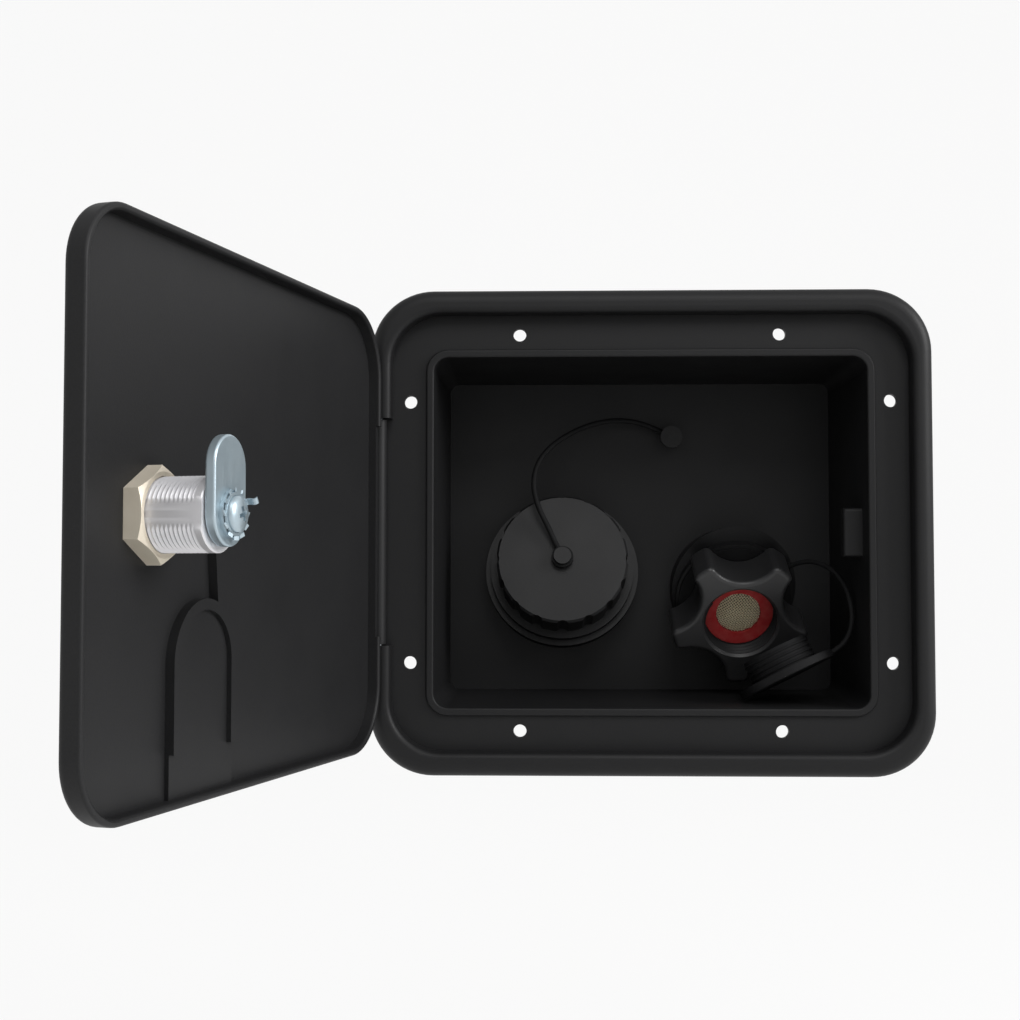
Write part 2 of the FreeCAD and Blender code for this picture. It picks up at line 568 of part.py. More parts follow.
def add_knuckle(body):
    """The knuckle on the hinge axis, its leaf to the door's edge, and the lower stretch of rim beside it."""
    relief = new_sketch(body, "XZ_Plane", "hinge_relief", lift="-1 * ( " + DOOR_RIM + " )",
                        right="door_hinge_edge + door_rim_wall / 2")
    draw_rectangle(relief, "door_rim_wall + root_overlap", "hinge_gap_height - 2 * hinge_relief_inset")
    pocket(body, relief, "hinge_relief_depth", forward=True)
    leaf = new_sketch(body, "XY_Plane", "leaf")
    root = "door_hinge_edge + door_rim_wall / 2"
    low = "-1 * knuckle_radius"
    high = "leaf_thickness - knuckle_radius"
    draw_polygon(leaf, [("0", low), (root, low), (root, high), ("0", high)])
    pad(body, leaf, KNUCKLE_LENGTH, both=True)
    knuckle = new_sketch(body, "XY_Plane", "knuckle")
    draw_circle(knuckle, "knuckle_radius")
    pad(body, knuckle, KNUCKLE_LENGTH, both=True)
    bore = new_sketch(body, "XY_Plane", "bore")
    draw_circle(bore, "hinge_pin_radius + running_clearance")
    pocket(body, bore, "hinge_gap_height", both=True)


def add_pull(body):
    """The arched platform on the inside with a rib on its edge, the spine above it and the finger scoop."""
    inner = "-1 * ( " + PANEL_INNER + " )"
    foot = "-1 * ( " + DOOR_HEIGHT + " ) / 2 + door_rim_wall / 2"
    rise = "( " + DOOR_HEIGHT + " ) / 2 - door_rim_wall / 2 - pull_rib_top"
    platform = new_sketch(body, "XZ_Plane", "platform", lift=inner, right="pull_rib_reach", up=foot)
    draw_arch(platform, "pull_rib_span", rise)
    pad(body, platform, "pull_platform_height", forward=False)
    arch = new_sketch(body, "XZ_Plane", "arch", lift=inner, right="pull_rib_reach",
                      up="-1 * pull_rib_foot")
    draw_arch(arch, "pull_rib_span", "pull_rib_foot - pull_rib_top")
    pad(body, arch, "rib_height", forward=False)
    field = new_sketch(body, "XZ_Plane", "arch_field", lift=inner + " - rib_height", right="pull_rib_reach",
                       up="-1 * ( pull_rib_foot + root_overlap )")
    field_rise = "pull_rib_foot + root_overlap - pull_rib_top - rib_width"
    draw_arch(field, "pull_rib_span - 2 * rib_width", field_rise)
    pocket(body, field, "rib_height - pull_platform_height", forward=True)
    spine = new_sketch(body, "XZ_Plane", "spine", lift=inner, right="spine_reach",
                       up="spine_length / 2 - pull_rib_top - rib_width / 2")
    tilt_sketch(spine, Vector(0, 0, 1), "-1 * spine_lean")
    draw_rectangle(spine, "spine_width", "spine_length")
    pad(body, spine, "rib_height", forward=False)
    scoop = new_sketch(body, "XZ_Plane", "scoop", lift=DOOR_OUTER, right="pull_rib_reach",
                       up="-1 * ( " + DOOR_HEIGHT + " ) / 2 - root_overlap")
    draw_arch(scoop, "pull_rib_span - 2 * rib_width", "pull_scoop_height + root_overlap")
    pocket(body, scoop, "pull_scoop_depth", forward=False)


def make_lock():
    """The cam lock: barrel and nut fixed to the door, and the core that turns the cam."""
    panel = "hinge_lift - border_height"
    bezel = panel + " - bezel_height"
    bore = "core_radius + running_clearance"
    barrel = turned_piece("lock_barrel", [
        (bore, bezel), ("bezel_radius - bezel_chamfer", bezel), ("bezel_radius", bezel + " + bezel_chamfer"),
        ("bezel_radius", panel), ("lock_barrel_radius", panel), ("lock_barrel_radius", BARREL_END),
        (bore, BARREL_END)], plane="XY_Plane", right="lock_reach")
    for name, side in (("near", "-1 * "), ("far", "")):
        shift = "lock_reach + " + side + "( lock_flat_width + bezel_radius ) / 2"
        flat = new_sketch(barrel, "XZ_Plane", name + "_flat", lift="-1 * ( " + BARREL_END + " )", right=shift)
        draw_rectangle(flat, "bezel_radius", "2 * bezel_radius")
        pocket(barrel, flat, BARREL_END + " - ( " + panel + " )", forward=True)
    on_door(barrel)

    nut = new_body("lock_nut")
    hexagon = new_sketch(nut, "XZ_Plane", "hexagon", lift="-1 * ( " + PANEL_INNER + " )", right="lock_reach")
    draw_hexagon(hexagon, "nut_across_flats")
    draw_circle(hexagon, "lock_barrel_radius + nut_clearance", name="bore")
    pad(nut, hexagon, "nut_thickness", forward=False)
    corner = "nut_across_flats / 2 / cos( 30 deg ) + root_overlap"
    crown = PANEL_INNER + " + nut_thickness"
    drop = "( " + corner + " - nut_across_flats / 2 ) * tan( nut_chamfer_slope * 1 deg )"
    chamfer = new_sketch(nut, "XY_Plane", "chamfer", right="lock_reach")
    draw_polygon(chamfer, [("nut_across_flats / 2", crown), (corner, crown + " - " + drop), (corner, crown)])
    revolve(nut, chamfer, "Groove")
    on_door(nut)

    face = bezel + " + core_recess"
    core = turned_piece("lock_plug", [
        ("0", face), ("core_radius", face), ("core_radius", BARREL_END), ("0", BARREL_END)],
        plane="XY_Plane", right="lock_reach")
    tail = new_sketch(core, "XZ_Plane", "tail", lift="-1 * ( " + BARREL_END + " )", right="lock_reach")
    draw_rectangle(tail, "tail_square", "tail_square")
    pad(core, tail, "cam_gap + cam_thickness", forward=False)
    tap = new_sketch(core, "XZ_Plane", "tap", lift="-1 * ( " + CAM_END + " )", right="lock_reach")
    draw_circle(tap, "cam_screw_radius + running_clearance")
    pocket(core, tap, "cam_screw_length", forward=True)
    slot = new_sketch(core, "XZ_Plane", "key_slot", lift="-1 * ( " + face + " )", right="lock_reach")
    draw_rectangle(slot, "key_slot_width", "key_slot_height")
    pocket(core, slot, "key_slot_depth", forward=False)
    on_door(core)


def draw_hexagon(sketch, across):
    """A regular hexagon about the sketch's origin, with two corners on its vertical axis."""
    corner = "( " + across + " ) / 2 / cos( 30 deg )"
    half = "( " + across + " ) / 2"
    less = "-1 * ( " + across + " ) / 2"
    draw_polygon(sketch, [
        ("0", corner), (less, corner + " / 2"), (less, "-1 * " + corner + " / 2"),
        ("0", "-1 * " + corner), (half, "-1 * " + corner + " / 2"), (half, corner + " / 2")])


def make_cam():
    """The cam on the core's square tail, with the washer and screw that hold it."""
    cam = new_body("lock_cam")
    plate = new_sketch(cam, "XZ_Plane", "plate", lift="-1 * ( " + CAM_START + " )", right="lock_reach")
    draw_circle(plate, "cam_width / 2", name="hub")
    pad(cam, plate, "cam_thickness", forward=False)
    blade = new_sketch(cam, "XZ_Plane", "blade", lift="-1 * ( " + CAM_START + " )", right="lock_reach")
    draw_arch(blade, "cam_width", "cam_length")
    pad(cam, blade, "cam_thickness", forward=False)
    square = new_sketch(cam, "XZ_Plane", "square", lift="-1 * ( " + CAM_START + " )", right="lock_reach")
    draw_rectangle(square, "tail_square + 2 * tail_clearance", "tail_square + 2 * tail_clearance")
    pierced = pocket(cam, square, "cam_thickness", forward=False)
    axis_x = size("lock_reach")
    faces = (size(CAM_START), size(CAM_END))

    def is_outline(edge, point):
        on_face = min(abs(point.y - face) for face in faces) < TOUCH
        return on_face and math.hypot(point.x - axis_x, point.z) > size("tail_square")

    round_edges(cam, pierced, is_outline, "cam_edge_round")
    on_door(cam)

    washer = turned_piece("cam_washer", [
        ("cam_screw_radius + running_clearance", CAM_END), ("cam_washer_radius", CAM_END),
        ("cam_washer_radius", CAM_END + " + cam_washer_thickness"),
        ("cam_screw_radius + running_clearance", CAM_END + " + cam_washer_thickness")],
        plane="XY_Plane", right="lock_reach")
    on_door(washer)

    seat = CAM_END + " + cam_washer_thickness"
    screw = turned_piece("cam_screw", [
        ("0", seat + " - cam_screw_length"), ("cam_screw_radius", seat + " - cam_screw_length"),
        ("cam_screw_radius", seat), ("cam_screw_head_radius", seat),
        ("cam_screw_head_radius", seat + " + cam_screw_head_height / 2"),
        ("cam_screw_crown", seat + " + cam_screw_head_height"),
        ("0", seat + " + cam_screw_head_height")], plane="XY_Plane", right="lock_reach")
    on_door(screw)


def make_fill():
    """The gravity fill neck with its hose spigot, and the fluted cap screwed down over it."""
    end = "-1 * ( fill_root_length + fill_spigot_length )"
    valley = "fill_spigot_radius - fill_barb_rise"
    barbs = []
    for number in range(3):
        foot = end + " + %d * fill_barb_pitch" % number
        barbs.append((valley, foot))
        barbs.append(("fill_spigot_radius", foot + " + fill_barb_ramp"))
        barbs.append(("fill_spigot_radius", foot + " + fill_barb_pitch"))
    shoulder = "-1 * fill_root_length"
    neck = turned_piece("fill_neck", [("fill_bore_radius", end)] + barbs[:-1] + [
        ("fill_spigot_radius", shoulder), ("fill_root_radius", shoulder),
        ("fill_root_radius", "0"), ("fill_flange_radius", "0"),
        ("fill_flange_radius", "fill_flange_thickness"),
        ("fill_neck_radius", "fill_flange_thickness"), ("fill_neck_radius", "fill_neck_height"),
        ("fill_bore_radius", "fill_neck_height")])
    on_fill_axis(neck)

    skirt_top = CAP_START + " + cap_skirt_height"
    inside = "fill_neck_radius + cap_gap"
    button_top = "cap_height + cap_button_height"
    cap = turned_piece("fill_cap", [
        ("0", "cap_height - cap_wall"), (inside, "cap_height - cap_wall"), (inside, CAP_START),
        ("cap_skirt_radius", CAP_START), ("cap_skirt_radius", skirt_top), ("cap_radius", skirt_top),
        ("cap_radius", "cap_height - cap_edge"), ("cap_radius - cap_edge", "cap_height"),
        ("cap_button_radius", "cap_height"), ("cap_button_radius", button_top),
        ("cap_button_head", button_top), ("cap_button_head", button_top + " + cap_button_head_height"),
        ("0", button_top + " + cap_button_head_height")])
    flute = new_sketch(cap, "XY_Plane", "flute", lift=skirt_top)
    draw_circle(flute, "cap_flute_radius", "cap_radius - cap_flute_depth + cap_flute_radius", "0")
    cut = pocket(cap, flute, "cap_height", forward=True)
    pattern_round(cap, cut, flute, "cap_tooth_count")
    on_fill_axis(cap)


def make_inlet():
    """The pressure inlet fixed to its seat, and the lobed swivel that takes the hose."""
    floor = LIP_START + " + inlet_lip_height"
    shoulder = "-1 * inlet_root_length"
    end = shoulder + " - inlet_tail_length"
    body = turned_piece("inlet_body", [
        ("0", floor + " - inlet_bore_depth"), ("inlet_bore_radius", floor + " - inlet_bore_depth"),
        ("inlet_bore_radius", floor), ("inlet_lip_radius", floor), ("inlet_lip_radius", LIP_START),
        ("inlet_stem_radius", LIP_START), ("inlet_stem_radius", "inlet_flange_thickness"),
        ("inlet_flange_radius", "inlet_flange_thickness"), ("inlet_flange_radius", "0"),
        ("inlet_root_radius", "0"), ("inlet_root_radius", shoulder), ("inlet_tail_radius", shoulder),
        ("inlet_tail_radius", end), ("inlet_tail_bore_radius", end),
        ("inlet_tail_bore_radius", end + " + inlet_tail_bore_depth"),
        ("0", end + " + inlet_tail_bore_depth")])
    on_inlet_axis(body)

    swivel = new_body("inlet_swivel")
    disc = new_sketch(swivel, "XY_Plane", "disc", lift=SWIVEL_START)
    draw_circle(disc, "swivel_lobe_radius")
    pad(swivel, disc, "swivel_thickness")
    hollow = new_sketch(swivel, "XY_Plane", "hollow", lift=SWIVEL_START)
    turn = "( 180 / swivel_lobe_count - 90 ) * 1 deg"
    draw_circle(hollow, "swivel_hollow_radius", "swivel_hollow_reach * cos( " + turn + " )",
                "swivel_hollow_reach * sin( " + turn + " )")
    cut = pocket(swivel, hollow, "swivel_thickness", forward=True)
    lobes = pattern_round(swivel, cut, hollow, "swivel_lobe_count")
    front = size(SWIVEL_FRONT)
    middle_height = front - size("swivel_thickness") / 2
    rounded = round_edges(swivel, lobes, lambda edge, point: abs(point.z - middle_height) < TOUCH,
                          "swivel_lobe_round")
    round_edges(swivel, rounded, lambda edge, point: abs(point.z - front) < TOUCH, "swivel_edge_round")
    mouth = new_sketch(swivel, "XY_Plane", "mouth", lift=WASHER_START + " + washer_thickness")
    draw_circle(mouth, "swivel_mouth_radius")
    opened = pocket(swivel, mouth, "swivel_thickness", forward=True)
    rim = size("swivel_mouth_radius") + TOUCH
    bevel_edges(swivel, opened, lambda edge, point: edge.Closed and abs(point.z - front) < TOUCH
                and point.Length < math.hypot(front, rim), "swivel_mouth_chamfer")
    washer_pocket = new_sketch(swivel, "XY_Plane", "washer_pocket", lift=SWIVEL_FLOOR)
    draw_circle(washer_pocket, "washer_radius + washer_pocket_gap")
    pocket(swivel, washer_pocket, "swivel_thickness", forward=True)
    throat = new_sketch(swivel, "XY_Plane", "throat", lift=SWIVEL_START)
    draw_circle(throat, "inlet_stem_radius + swivel_clearance")
    pocket(swivel, throat, "swivel_thickness", forward=True)
    on_inlet_axis(swivel)

    washer_top = WASHER_START + " + washer_thickness"
    washer = turned_piece("inlet_washer", [
        ("washer_hole_radius", WASHER_START), ("washer_radius", WASHER_START), ("washer_radius", washer_top),
        ("washer_hole_radius", washer_top)])
    on_inlet_axis(washer)
    make_screen()


def make_screen():
    """The domed strainer held in the washer's hole."""
    body = new_body("inlet_screen")
    middle = WASHER_START + " + washer_thickness / 2"
    rim = new_sketch(body, "XZ_Plane", "rim")
    draw_polygon(rim, [
        ("0", middle + " + screen_rise - screen_thickness"),
        ("screen_shoulder", middle + " + screen_shoulder_rise - screen_thickness"),
        ("washer_hole_radius", middle + " - screen_thickness"), ("washer_hole_radius", middle),
        ("screen_shoulder", middle + " + screen_shoulder_rise"), ("0", middle + " + screen_rise")])
    revolve(body, rim)
    on_inlet_axis(body)


def make_plug():
    """The inlet's plug, hanging on its tether, and the ring that holds the tether round the inlet."""
    face = "plug_disc_thickness / 2"
    top = face + " + plug_stem_height"
    ribs = []
    for number in range(4):
        end = face + " + %d * plug_rib_pitch" % (number + 1)
        start = end + " - plug_rib_width"
        ribs.append(("plug_stem_radius", start))
        ribs.append(("plug_stem_radius + plug_rib_rise", start + " + plug_rib_slope"))
        ribs.append(("plug_stem_radius + plug_rib_rise", end + " - plug_rib_slope"))
        ribs.append(("plug_stem_radius", end))
    inside = "plug_stem_radius - plug_stem_wall"
    plug = turned_piece("inlet_plug", [
        ("0", "-1 * " + face), ("plug_disc_radius", "-1 * " + face), ("plug_disc_radius", face),
        ("plug_stem_radius", face)] + ribs + [
        ("plug_stem_radius", top), (inside, top), (inside, face), ("0", face)], tip="-1 * plug_tip")
    place(plug, ("plug_x", "plug_depth", "plug_z"), Vector(0, 1, 0), "-1 * plug_lean")

    ring_top = "inlet_flange_thickness + plug_ring_thickness"
    hole = "inlet_stem_radius + swivel_clearance"
    ring = turned_piece("plug_ring", [
        (hole, "inlet_flange_thickness"), ("plug_ring_radius", "inlet_flange_thickness"),
        ("plug_ring_radius", ring_top), (hole, ring_top)])
    on_inlet_axis(ring)


def rounded_path(points, label):
    """Straight runs joined by tangent arcs, each arc as large as its two runs allow."""
    points = [Vector(*point) for point in points]
    edges = []
    radii = []
    start = points[0]
    for before, corner, after in zip(points, points[1:], points[2:]):
        to_before = (before - corner).normalize()
        to_after = (after - corner).normalize()
        turn = math.pi - to_before.getAngle(to_after)
        setback = ARC_SHARE * min((before - corner).Length, (after - corner).Length)
        radius = setback / math.tan(turn / 2)
        radii.append(round(radius, 1))
        arc_start = corner + to_before * setback
        arc_end = corner + to_after * setback
        inward = (to_before + to_after).normalize()
        middle = corner + inward * (radius / math.cos(turn / 2) - radius)
        edges.append(Part.LineSegment(start, arc_start).toShape())
        edges.append(Part.Arc(arc_start, middle, arc_end).toShape())
        start = arc_end
    edges.append(Part.LineSegment(start, points[-1]).toShape())
    path = Part.Wire(edges)
    print(label, "length", round(path.Length, 2), "radii", radii)
    return path


def make_tether(label, route, radius):
    """A round moulded cord along its route."""
    path = rounded_path(route, label)
    first = path.Edges[0]
    direction = first.tangentAt(first.FirstParameter)
    section = Part.Wire(Part.Circle(Vector(*route[0]), direction, size(radius)).toShape())
    tether = doc.addObject("Part::Feature", label)
    tether.Label = label
    tether.Shape = path.makePipeShell([section], True, False)
    expected = path.Length * math.pi * size(radius) ** 2
    print(label, "volume over section times length", round(tether.Shape.Volume / expected, 4))


def make_cap_tether_ends():
    """The eye round the cap's button and the post on the back wall."""
    eye_start = "cap_height + tether_eye_clearance"
    eye_end = "cap_height + cap_button_height - tether_eye_clearance"
    hole = "cap_button_radius + tether_eye_clearance"
    eye = turned_piece("tether_eye", [
        (hole, eye_start), ("tether_eye_radius", eye_start), ("tether_eye_radius", eye_end), (hole, eye_end)])
    on_fill_axis(eye)

    neck_end = "-1 * box_depth + tether_post_length"
    post = new_body("tether_anchor")
    profile = new_sketch(post, "XY_Plane", "profile", right="tether_post_x")
    draw_polygon(profile, [
        ("0", "box_depth"), ("tether_post_radius", "box_depth"),
        ("tether_post_radius", "-1 * ( " + neck_end + " )"),
        ("tether_post_head", "-1 * ( " + neck_end + " )"),
        ("tether_post_head", "-1 * ( " + neck_end + " + tether_post_head_height )"),
        ("0", "-1 * ( " + neck_end + " + tether_post_head_height )")])
    revolve(post, profile)
    post.setExpression(".Placement.Base.z", of_sheet("tether_post_z"))


def write_pieces():
    """Checks every object of the document, then writes one file for each piece."""
    doc.recompute()
    pieces = [thing for thing in doc.Objects if thing.TypeId == "PartDesign::Body"]
    pieces += [thing for thing in doc.RootObjects if thing.TypeId in ("Part::Feature", "Part::Cylinder")]
    for thing in doc.Objects:
        if "Invalid" in thing.State or "Error" in thing.State:
            raise ValueError(thing.Label + " failed")
    for piece in pieces:
        if piece.Shape.isNull() or not piece.Shape.isValid():
            raise ValueError(piece.Label + " has no valid shape")
        if len(piece.Shape.Solids) != 1:
            raise ValueError("%s has %d solids" % (piece.Label, len(piece.Shape.Solids)))
    os.makedirs("parts", exist_ok=True)
    for piece in pieces:
        piece.Shape.exportStep("parts/" + piece.Label + ".step")
        box = piece.Shape.BoundBox
        print("%-14s %9.1f mm3  X %.1f %.1f  Y %.1f %.1f  Z %.1f %.1f" % (
            piece.Label, piece.Shape.Volume, box.XMin, box.XMax, box.YMin, box.YMax, box.ZMin, box.ZMax))


make_housing()
make_hinge_pin()
make_door()
make_lock()
make_cam()
make_fill()
make_inlet()
make_plug()
make_cap_tether_ends()
make_tether("cap_tether", CAP_TETHER_ROUTE, "cap_tether_radius")
make_tether("plug_tether", PLUG_TETHER_ROUTE, "plug_tether_radius")
write_pieces()
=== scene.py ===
# %% [markdown]
# A caravan's water inlet hatch, dressed for its portrait
#
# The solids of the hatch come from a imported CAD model, at their real size in metres. Blender gives
# them their finish and adds what is too fine for the solids: screw threads, a woven strainer, the
# cross in a screw head and the two soft tethers. We load the model first and keep its box, because
# nothing that we add may make the object bigger.

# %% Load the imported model
import json
import math

import bmesh
import bpy
from mathutils import Matrix, Vector


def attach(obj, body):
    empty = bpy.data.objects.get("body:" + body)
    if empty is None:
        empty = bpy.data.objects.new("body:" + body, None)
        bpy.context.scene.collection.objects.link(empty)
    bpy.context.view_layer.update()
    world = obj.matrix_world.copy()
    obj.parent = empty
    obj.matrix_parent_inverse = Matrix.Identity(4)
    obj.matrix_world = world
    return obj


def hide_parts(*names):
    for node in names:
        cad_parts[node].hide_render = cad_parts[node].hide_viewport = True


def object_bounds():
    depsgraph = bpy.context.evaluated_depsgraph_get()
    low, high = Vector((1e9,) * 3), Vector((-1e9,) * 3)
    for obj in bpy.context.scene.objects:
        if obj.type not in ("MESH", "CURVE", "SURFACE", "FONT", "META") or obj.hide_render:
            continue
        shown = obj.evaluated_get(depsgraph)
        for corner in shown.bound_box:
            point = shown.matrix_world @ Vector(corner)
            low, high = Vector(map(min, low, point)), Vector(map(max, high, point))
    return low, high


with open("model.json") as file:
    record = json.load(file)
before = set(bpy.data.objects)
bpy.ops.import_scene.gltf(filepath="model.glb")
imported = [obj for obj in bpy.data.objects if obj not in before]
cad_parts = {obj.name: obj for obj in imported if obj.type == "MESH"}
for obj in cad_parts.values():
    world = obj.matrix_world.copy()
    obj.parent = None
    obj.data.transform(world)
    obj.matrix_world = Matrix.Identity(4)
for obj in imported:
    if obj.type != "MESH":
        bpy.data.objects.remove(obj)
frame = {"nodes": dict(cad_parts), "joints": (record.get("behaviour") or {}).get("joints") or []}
CAD_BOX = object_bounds()
MM = 0.001
print("nodes", len(frame["nodes"]), "box", [round(side, 4) for side in CAD_BOX[1] - CAD_BOX[0]])

# %% [markdown]
# The camera stands where the photographer stood: almost straight in front of the flange, half a
# metre away and a little below the middle. Its lens was worked out from the way that the open door
# grows towards the viewer, so the door and the box come out at the same scale as in the photograph.

# %% Camera
CAMERA_PLACE = Vector((-0.0348, -0.5005, -0.0143))
CAMERA_TURN = (math.radians(92.52), 0.0, math.radians(1.60))
LENS_MM = 50.47
SENSOR_MM = 36.0

camera = bpy.data.objects.new("camera", bpy.data.cameras.new("camera"))
camera.location = CAMERA_PLACE
camera.rotation_euler = CAMERA_TURN
camera.data.lens = LENS_MM
camera.data.sensor_width = SENSOR_MM
bpy.context.scene.collection.objects.link(camera)
bpy.context.scene.camera = camera
print("camera", LENS_MM, "mm at", [round(place, 3) for place in CAMERA_PLACE])

# %% [markdown]
# Three small helpers serve all the materials. Colours are written as the sRGB hex values that one
# reads from a picture, and Blender wants linear light, so the first converts them. The second adds a
# node, sets its inputs and links it, so that a material reads as a list of what it is made of. Where
# it is given a node for an input, it takes that node's first live output. The third starts a material.

# %% Colour and node helpers
def linear(hex_colour):
    """Linear RGBA of an sRGB hex colour."""
    channels = [int(hex_colour[start:start + 2], 16) / 255 for start in (1, 3, 5)]
    return [c / 12.92 if c <= 0.04045 else ((c + 0.055) / 1.055) ** 2.4 for c in channels] + [1.0]


def add_node(tree, kind, settings=None, **inputs):
    """A new node. Inputs are numbers, colours, sockets or other nodes."""
    node = tree.nodes.new(kind)
    for name, value in (settings or {}).items():
        setattr(node, name, value)
    for name, value in inputs.items():
        key = int(name[1:]) if name.startswith("_") else name.replace("_", " ")
        if isinstance(value, bpy.types.Node):
            value = next(output for output in value.outputs if output.enabled)
        if isinstance(value, bpy.types.NodeSocket):
            tree.links.new(value, node.inputs[key])
        else:
            node.inputs[key].default_value = value
    return node


def new_material(name):
    """An empty node material and its tree."""
    material = bpy.data.materials.new(name)
    material.use_nodes = True
    material.node_tree.nodes.clear()
    return material, material.node_tree


print("mid grey", [round(channel, 3) for channel in linear("#808080")[:3]])

# %% [markdown]
# The stage is one pale sheet that runs along the floor and curves up behind, as in a small photo
# studio. A floor and a wall would do, but their corner would show as a line. The hatch hangs clear of
# the sheet, as it would on a wall. To the camera and in reflections the sheet is nearly white, and the
# rest of it is plain paint that catches a soft shadow.

# %% Stage
STAGE_HALF_WIDTH = 2.4
STAGE_FRONT = -2.2
STAGE_BACK = 1.9
STAGE_CURVE = 0.7
STAGE_TOP = 2.6
STAGE_WHITE = 0.9
FLOOR_DROP = 0.16
FLOOR_HEIGHT = CAD_BOX[0].z - FLOOR_DROP
CURVE_STEPS = 16


def stage_material():
    """Matt paper: white to the camera and in mirrors, with some of its real shading left."""
    material, tree = new_material("studio_paper")
    path = add_node(tree, "ShaderNodeLightPath").outputs
    seen = add_node(tree, "ShaderNodeMath", {"operation": "MAXIMUM"},
                    _0=path["Is Camera Ray"], _1=path["Is Glossy Ray"])
    shown = add_node(tree, "ShaderNodeMath", {"operation": "MAXIMUM"},
                     _0=seen, _1=path["Is Transmission Ray"])
    share = add_node(tree, "ShaderNodeMath", {"operation": "MULTIPLY"}, _0=shown, _1=STAGE_WHITE)
    paint = add_node(tree, "ShaderNodeBsdfDiffuse", Color=linear("#f2f2f0"))
    glow = add_node(tree, "ShaderNodeEmission", Color=(1, 1, 1, 1), Strength=1.0)
    mix = add_node(tree, "ShaderNodeMixShader", _0=share, _1=paint, _2=glow)
    add_node(tree, "ShaderNodeOutputMaterial", Surface=mix)
    return material


def make_stage():
    """Floor and backdrop in one bent sheet."""
    profile = [(STAGE_FRONT, FLOOR_HEIGHT)]
    for step in range(CURVE_STEPS + 1):
        angle = math.pi / 2 * step / CURVE_STEPS
        profile.append((STAGE_BACK - STAGE_CURVE + STAGE_CURVE * math.sin(angle),
                        FLOOR_HEIGHT + STAGE_CURVE * (1 - math.cos(angle))))
    profile.append((STAGE_BACK, STAGE_TOP))
    mesh = bpy.data.meshes.new("studio_sheet")
    points = [(side * STAGE_HALF_WIDTH, y, z) for y, z in profile for side in (-1, 1)]
    faces = [(2 * n, 2 * n + 1, 2 * n + 3, 2 * n + 2) for n in range(len(profile) - 1)]
    mesh.from_pydata(points, [], faces)
    mesh.shade_smooth()
    sheet = bpy.data.objects.new("studio_sheet", mesh)
    bpy.context.scene.collection.objects.link(sheet)
    mesh.materials.append(stage_material())


make_stage()
print("floor at", round(FLOOR_HEIGHT, 3))

# %% [markdown]
# The air of the studio is the light of Blender's world. It could be a picture of a room, but an even
# light is plainer, and it shows colours about as they are written. It is white to the camera and
# lights the object from all sides at less than half of that. Reflections see a little more of it, so
# that plated metal has something bright to show.

# %% Air
WORLD_FILL = 0.4
WORLD_GLOSS = 0.58


def make_world():
    """White to the camera, bright in mirrors, and a weak even fill for everything else."""
    world = bpy.data.worlds.new("studio_air")
    world.use_nodes = True
    tree = world.node_tree
    tree.nodes.clear()
    path = add_node(tree, "ShaderNodeLightPath").outputs
    mirrored = add_node(tree, "ShaderNodeMath", {"operation": "MAXIMUM"},
                        _0=path["Is Glossy Ray"], _1=path["Is Transmission Ray"])
    level = add_node(tree, "ShaderNodeMath", {"operation": "MULTIPLY_ADD"},
                     _0=mirrored, _1=WORLD_GLOSS - WORLD_FILL, _2=WORLD_FILL)
    air = add_node(tree, "ShaderNodeBackground", Color=(1, 1, 1, 1), Strength=level)
    white = add_node(tree, "ShaderNodeBackground", Color=(1, 1, 1, 1), Strength=1.0)
    mix = add_node(tree, "ShaderNodeMixShader", _0=path["Is Camera Ray"], _1=air, _2=white)
    add_node(tree, "ShaderNodeOutputWorld", Surface=mix)
    bpy.context.scene.world = world


make_world()
print("air", WORLD_FILL, "all round,", WORLD_GLOSS, "in reflections")

# %% [markdown]
# Two square soft lamps do the rest. The main one stands far to the right: it falls full on the inside
# of the open door, grazes the flange and leaves most of the deep box in shade. A weaker one in front,
# half way up, reaches the fittings in the box. One large lamp in front would be simpler, but it would
# make the box look shallow.

# %% Lamps
MAIN_LAMP_PLACE = (1.1, -0.48, 0.5)
MAIN_LAMP_SIZE = 0.6
MAIN_LAMP_WATTS = 12
TOP_LAMP_PLACE = (0.1, -0.85, 0.75)
TOP_LAMP_SIZE = 0.5
TOP_LAMP_WATTS = 3.2


def add_lamp(name, place, size, watts):
    """A square soft lamp that faces the middle of the opening."""
    lamp = bpy.data.lights.new(name, "AREA")
    lamp.size = size
    lamp.energy = watts
    holder = bpy.data.objects.new(name, lamp)
    holder.location = place
    holder.rotation_euler = (-Vector(place)).to_track_quat("-Z", "Y").to_euler()
    bpy.context.scene.collection.objects.link(holder)


add_lamp("main_lamp", MAIN_LAMP_PLACE, MAIN_LAMP_SIZE, MAIN_LAMP_WATTS)
add_lamp("top_lamp", TOP_LAMP_PLACE, TOP_LAMP_SIZE, TOP_LAMP_WATTS)
bpy.context.scene.view_settings.view_transform = "Standard"
print("lamps", MAIN_LAMP_WATTS, "and", TOP_LAMP_WATTS, "watts")

# %% [markdown]
# Nearly everything here is black ABS, injection moulded in a lightly etched tool. The etching is a
# fine grain, which spreads the highlights and makes the black look dark grey. Under it the surface
# waves very slightly, as thin mouldings do, and that shows only in the highlights. A flat black would
# hide both, so the grain and the waves come from noise, each at its own size. One function makes the
# plastic, and each moulding gets its own shade of it. The lighter shades of the door and the swivel
# are painted light for the stronger light that falls on them.

# %% Moulded ABS
# A real etched grain is about 0.1 mm wide. That is less than a pixel, so it is drawn coarser here.
ETCH_GRAIN_MM = 0.5
ETCH_DEPTH_MM = 0.06
ETCH_STRENGTH = 0.3
ETCH_DETAIL = 2.0
SINK_WAVE_MM = 22.0
SINK_DEPTH_MM = 0.4
SINK_STRENGTH = 0.05
SINK_DETAIL = 3.0
TONE_SPREAD = 0.3
ROUGHNESS_SPREAD = 0.03
# Blender's noise keeps mostly between these two values.
NOISE_LOW = 0.3
NOISE_HIGH = 0.7
ABS_IOR = 1.53


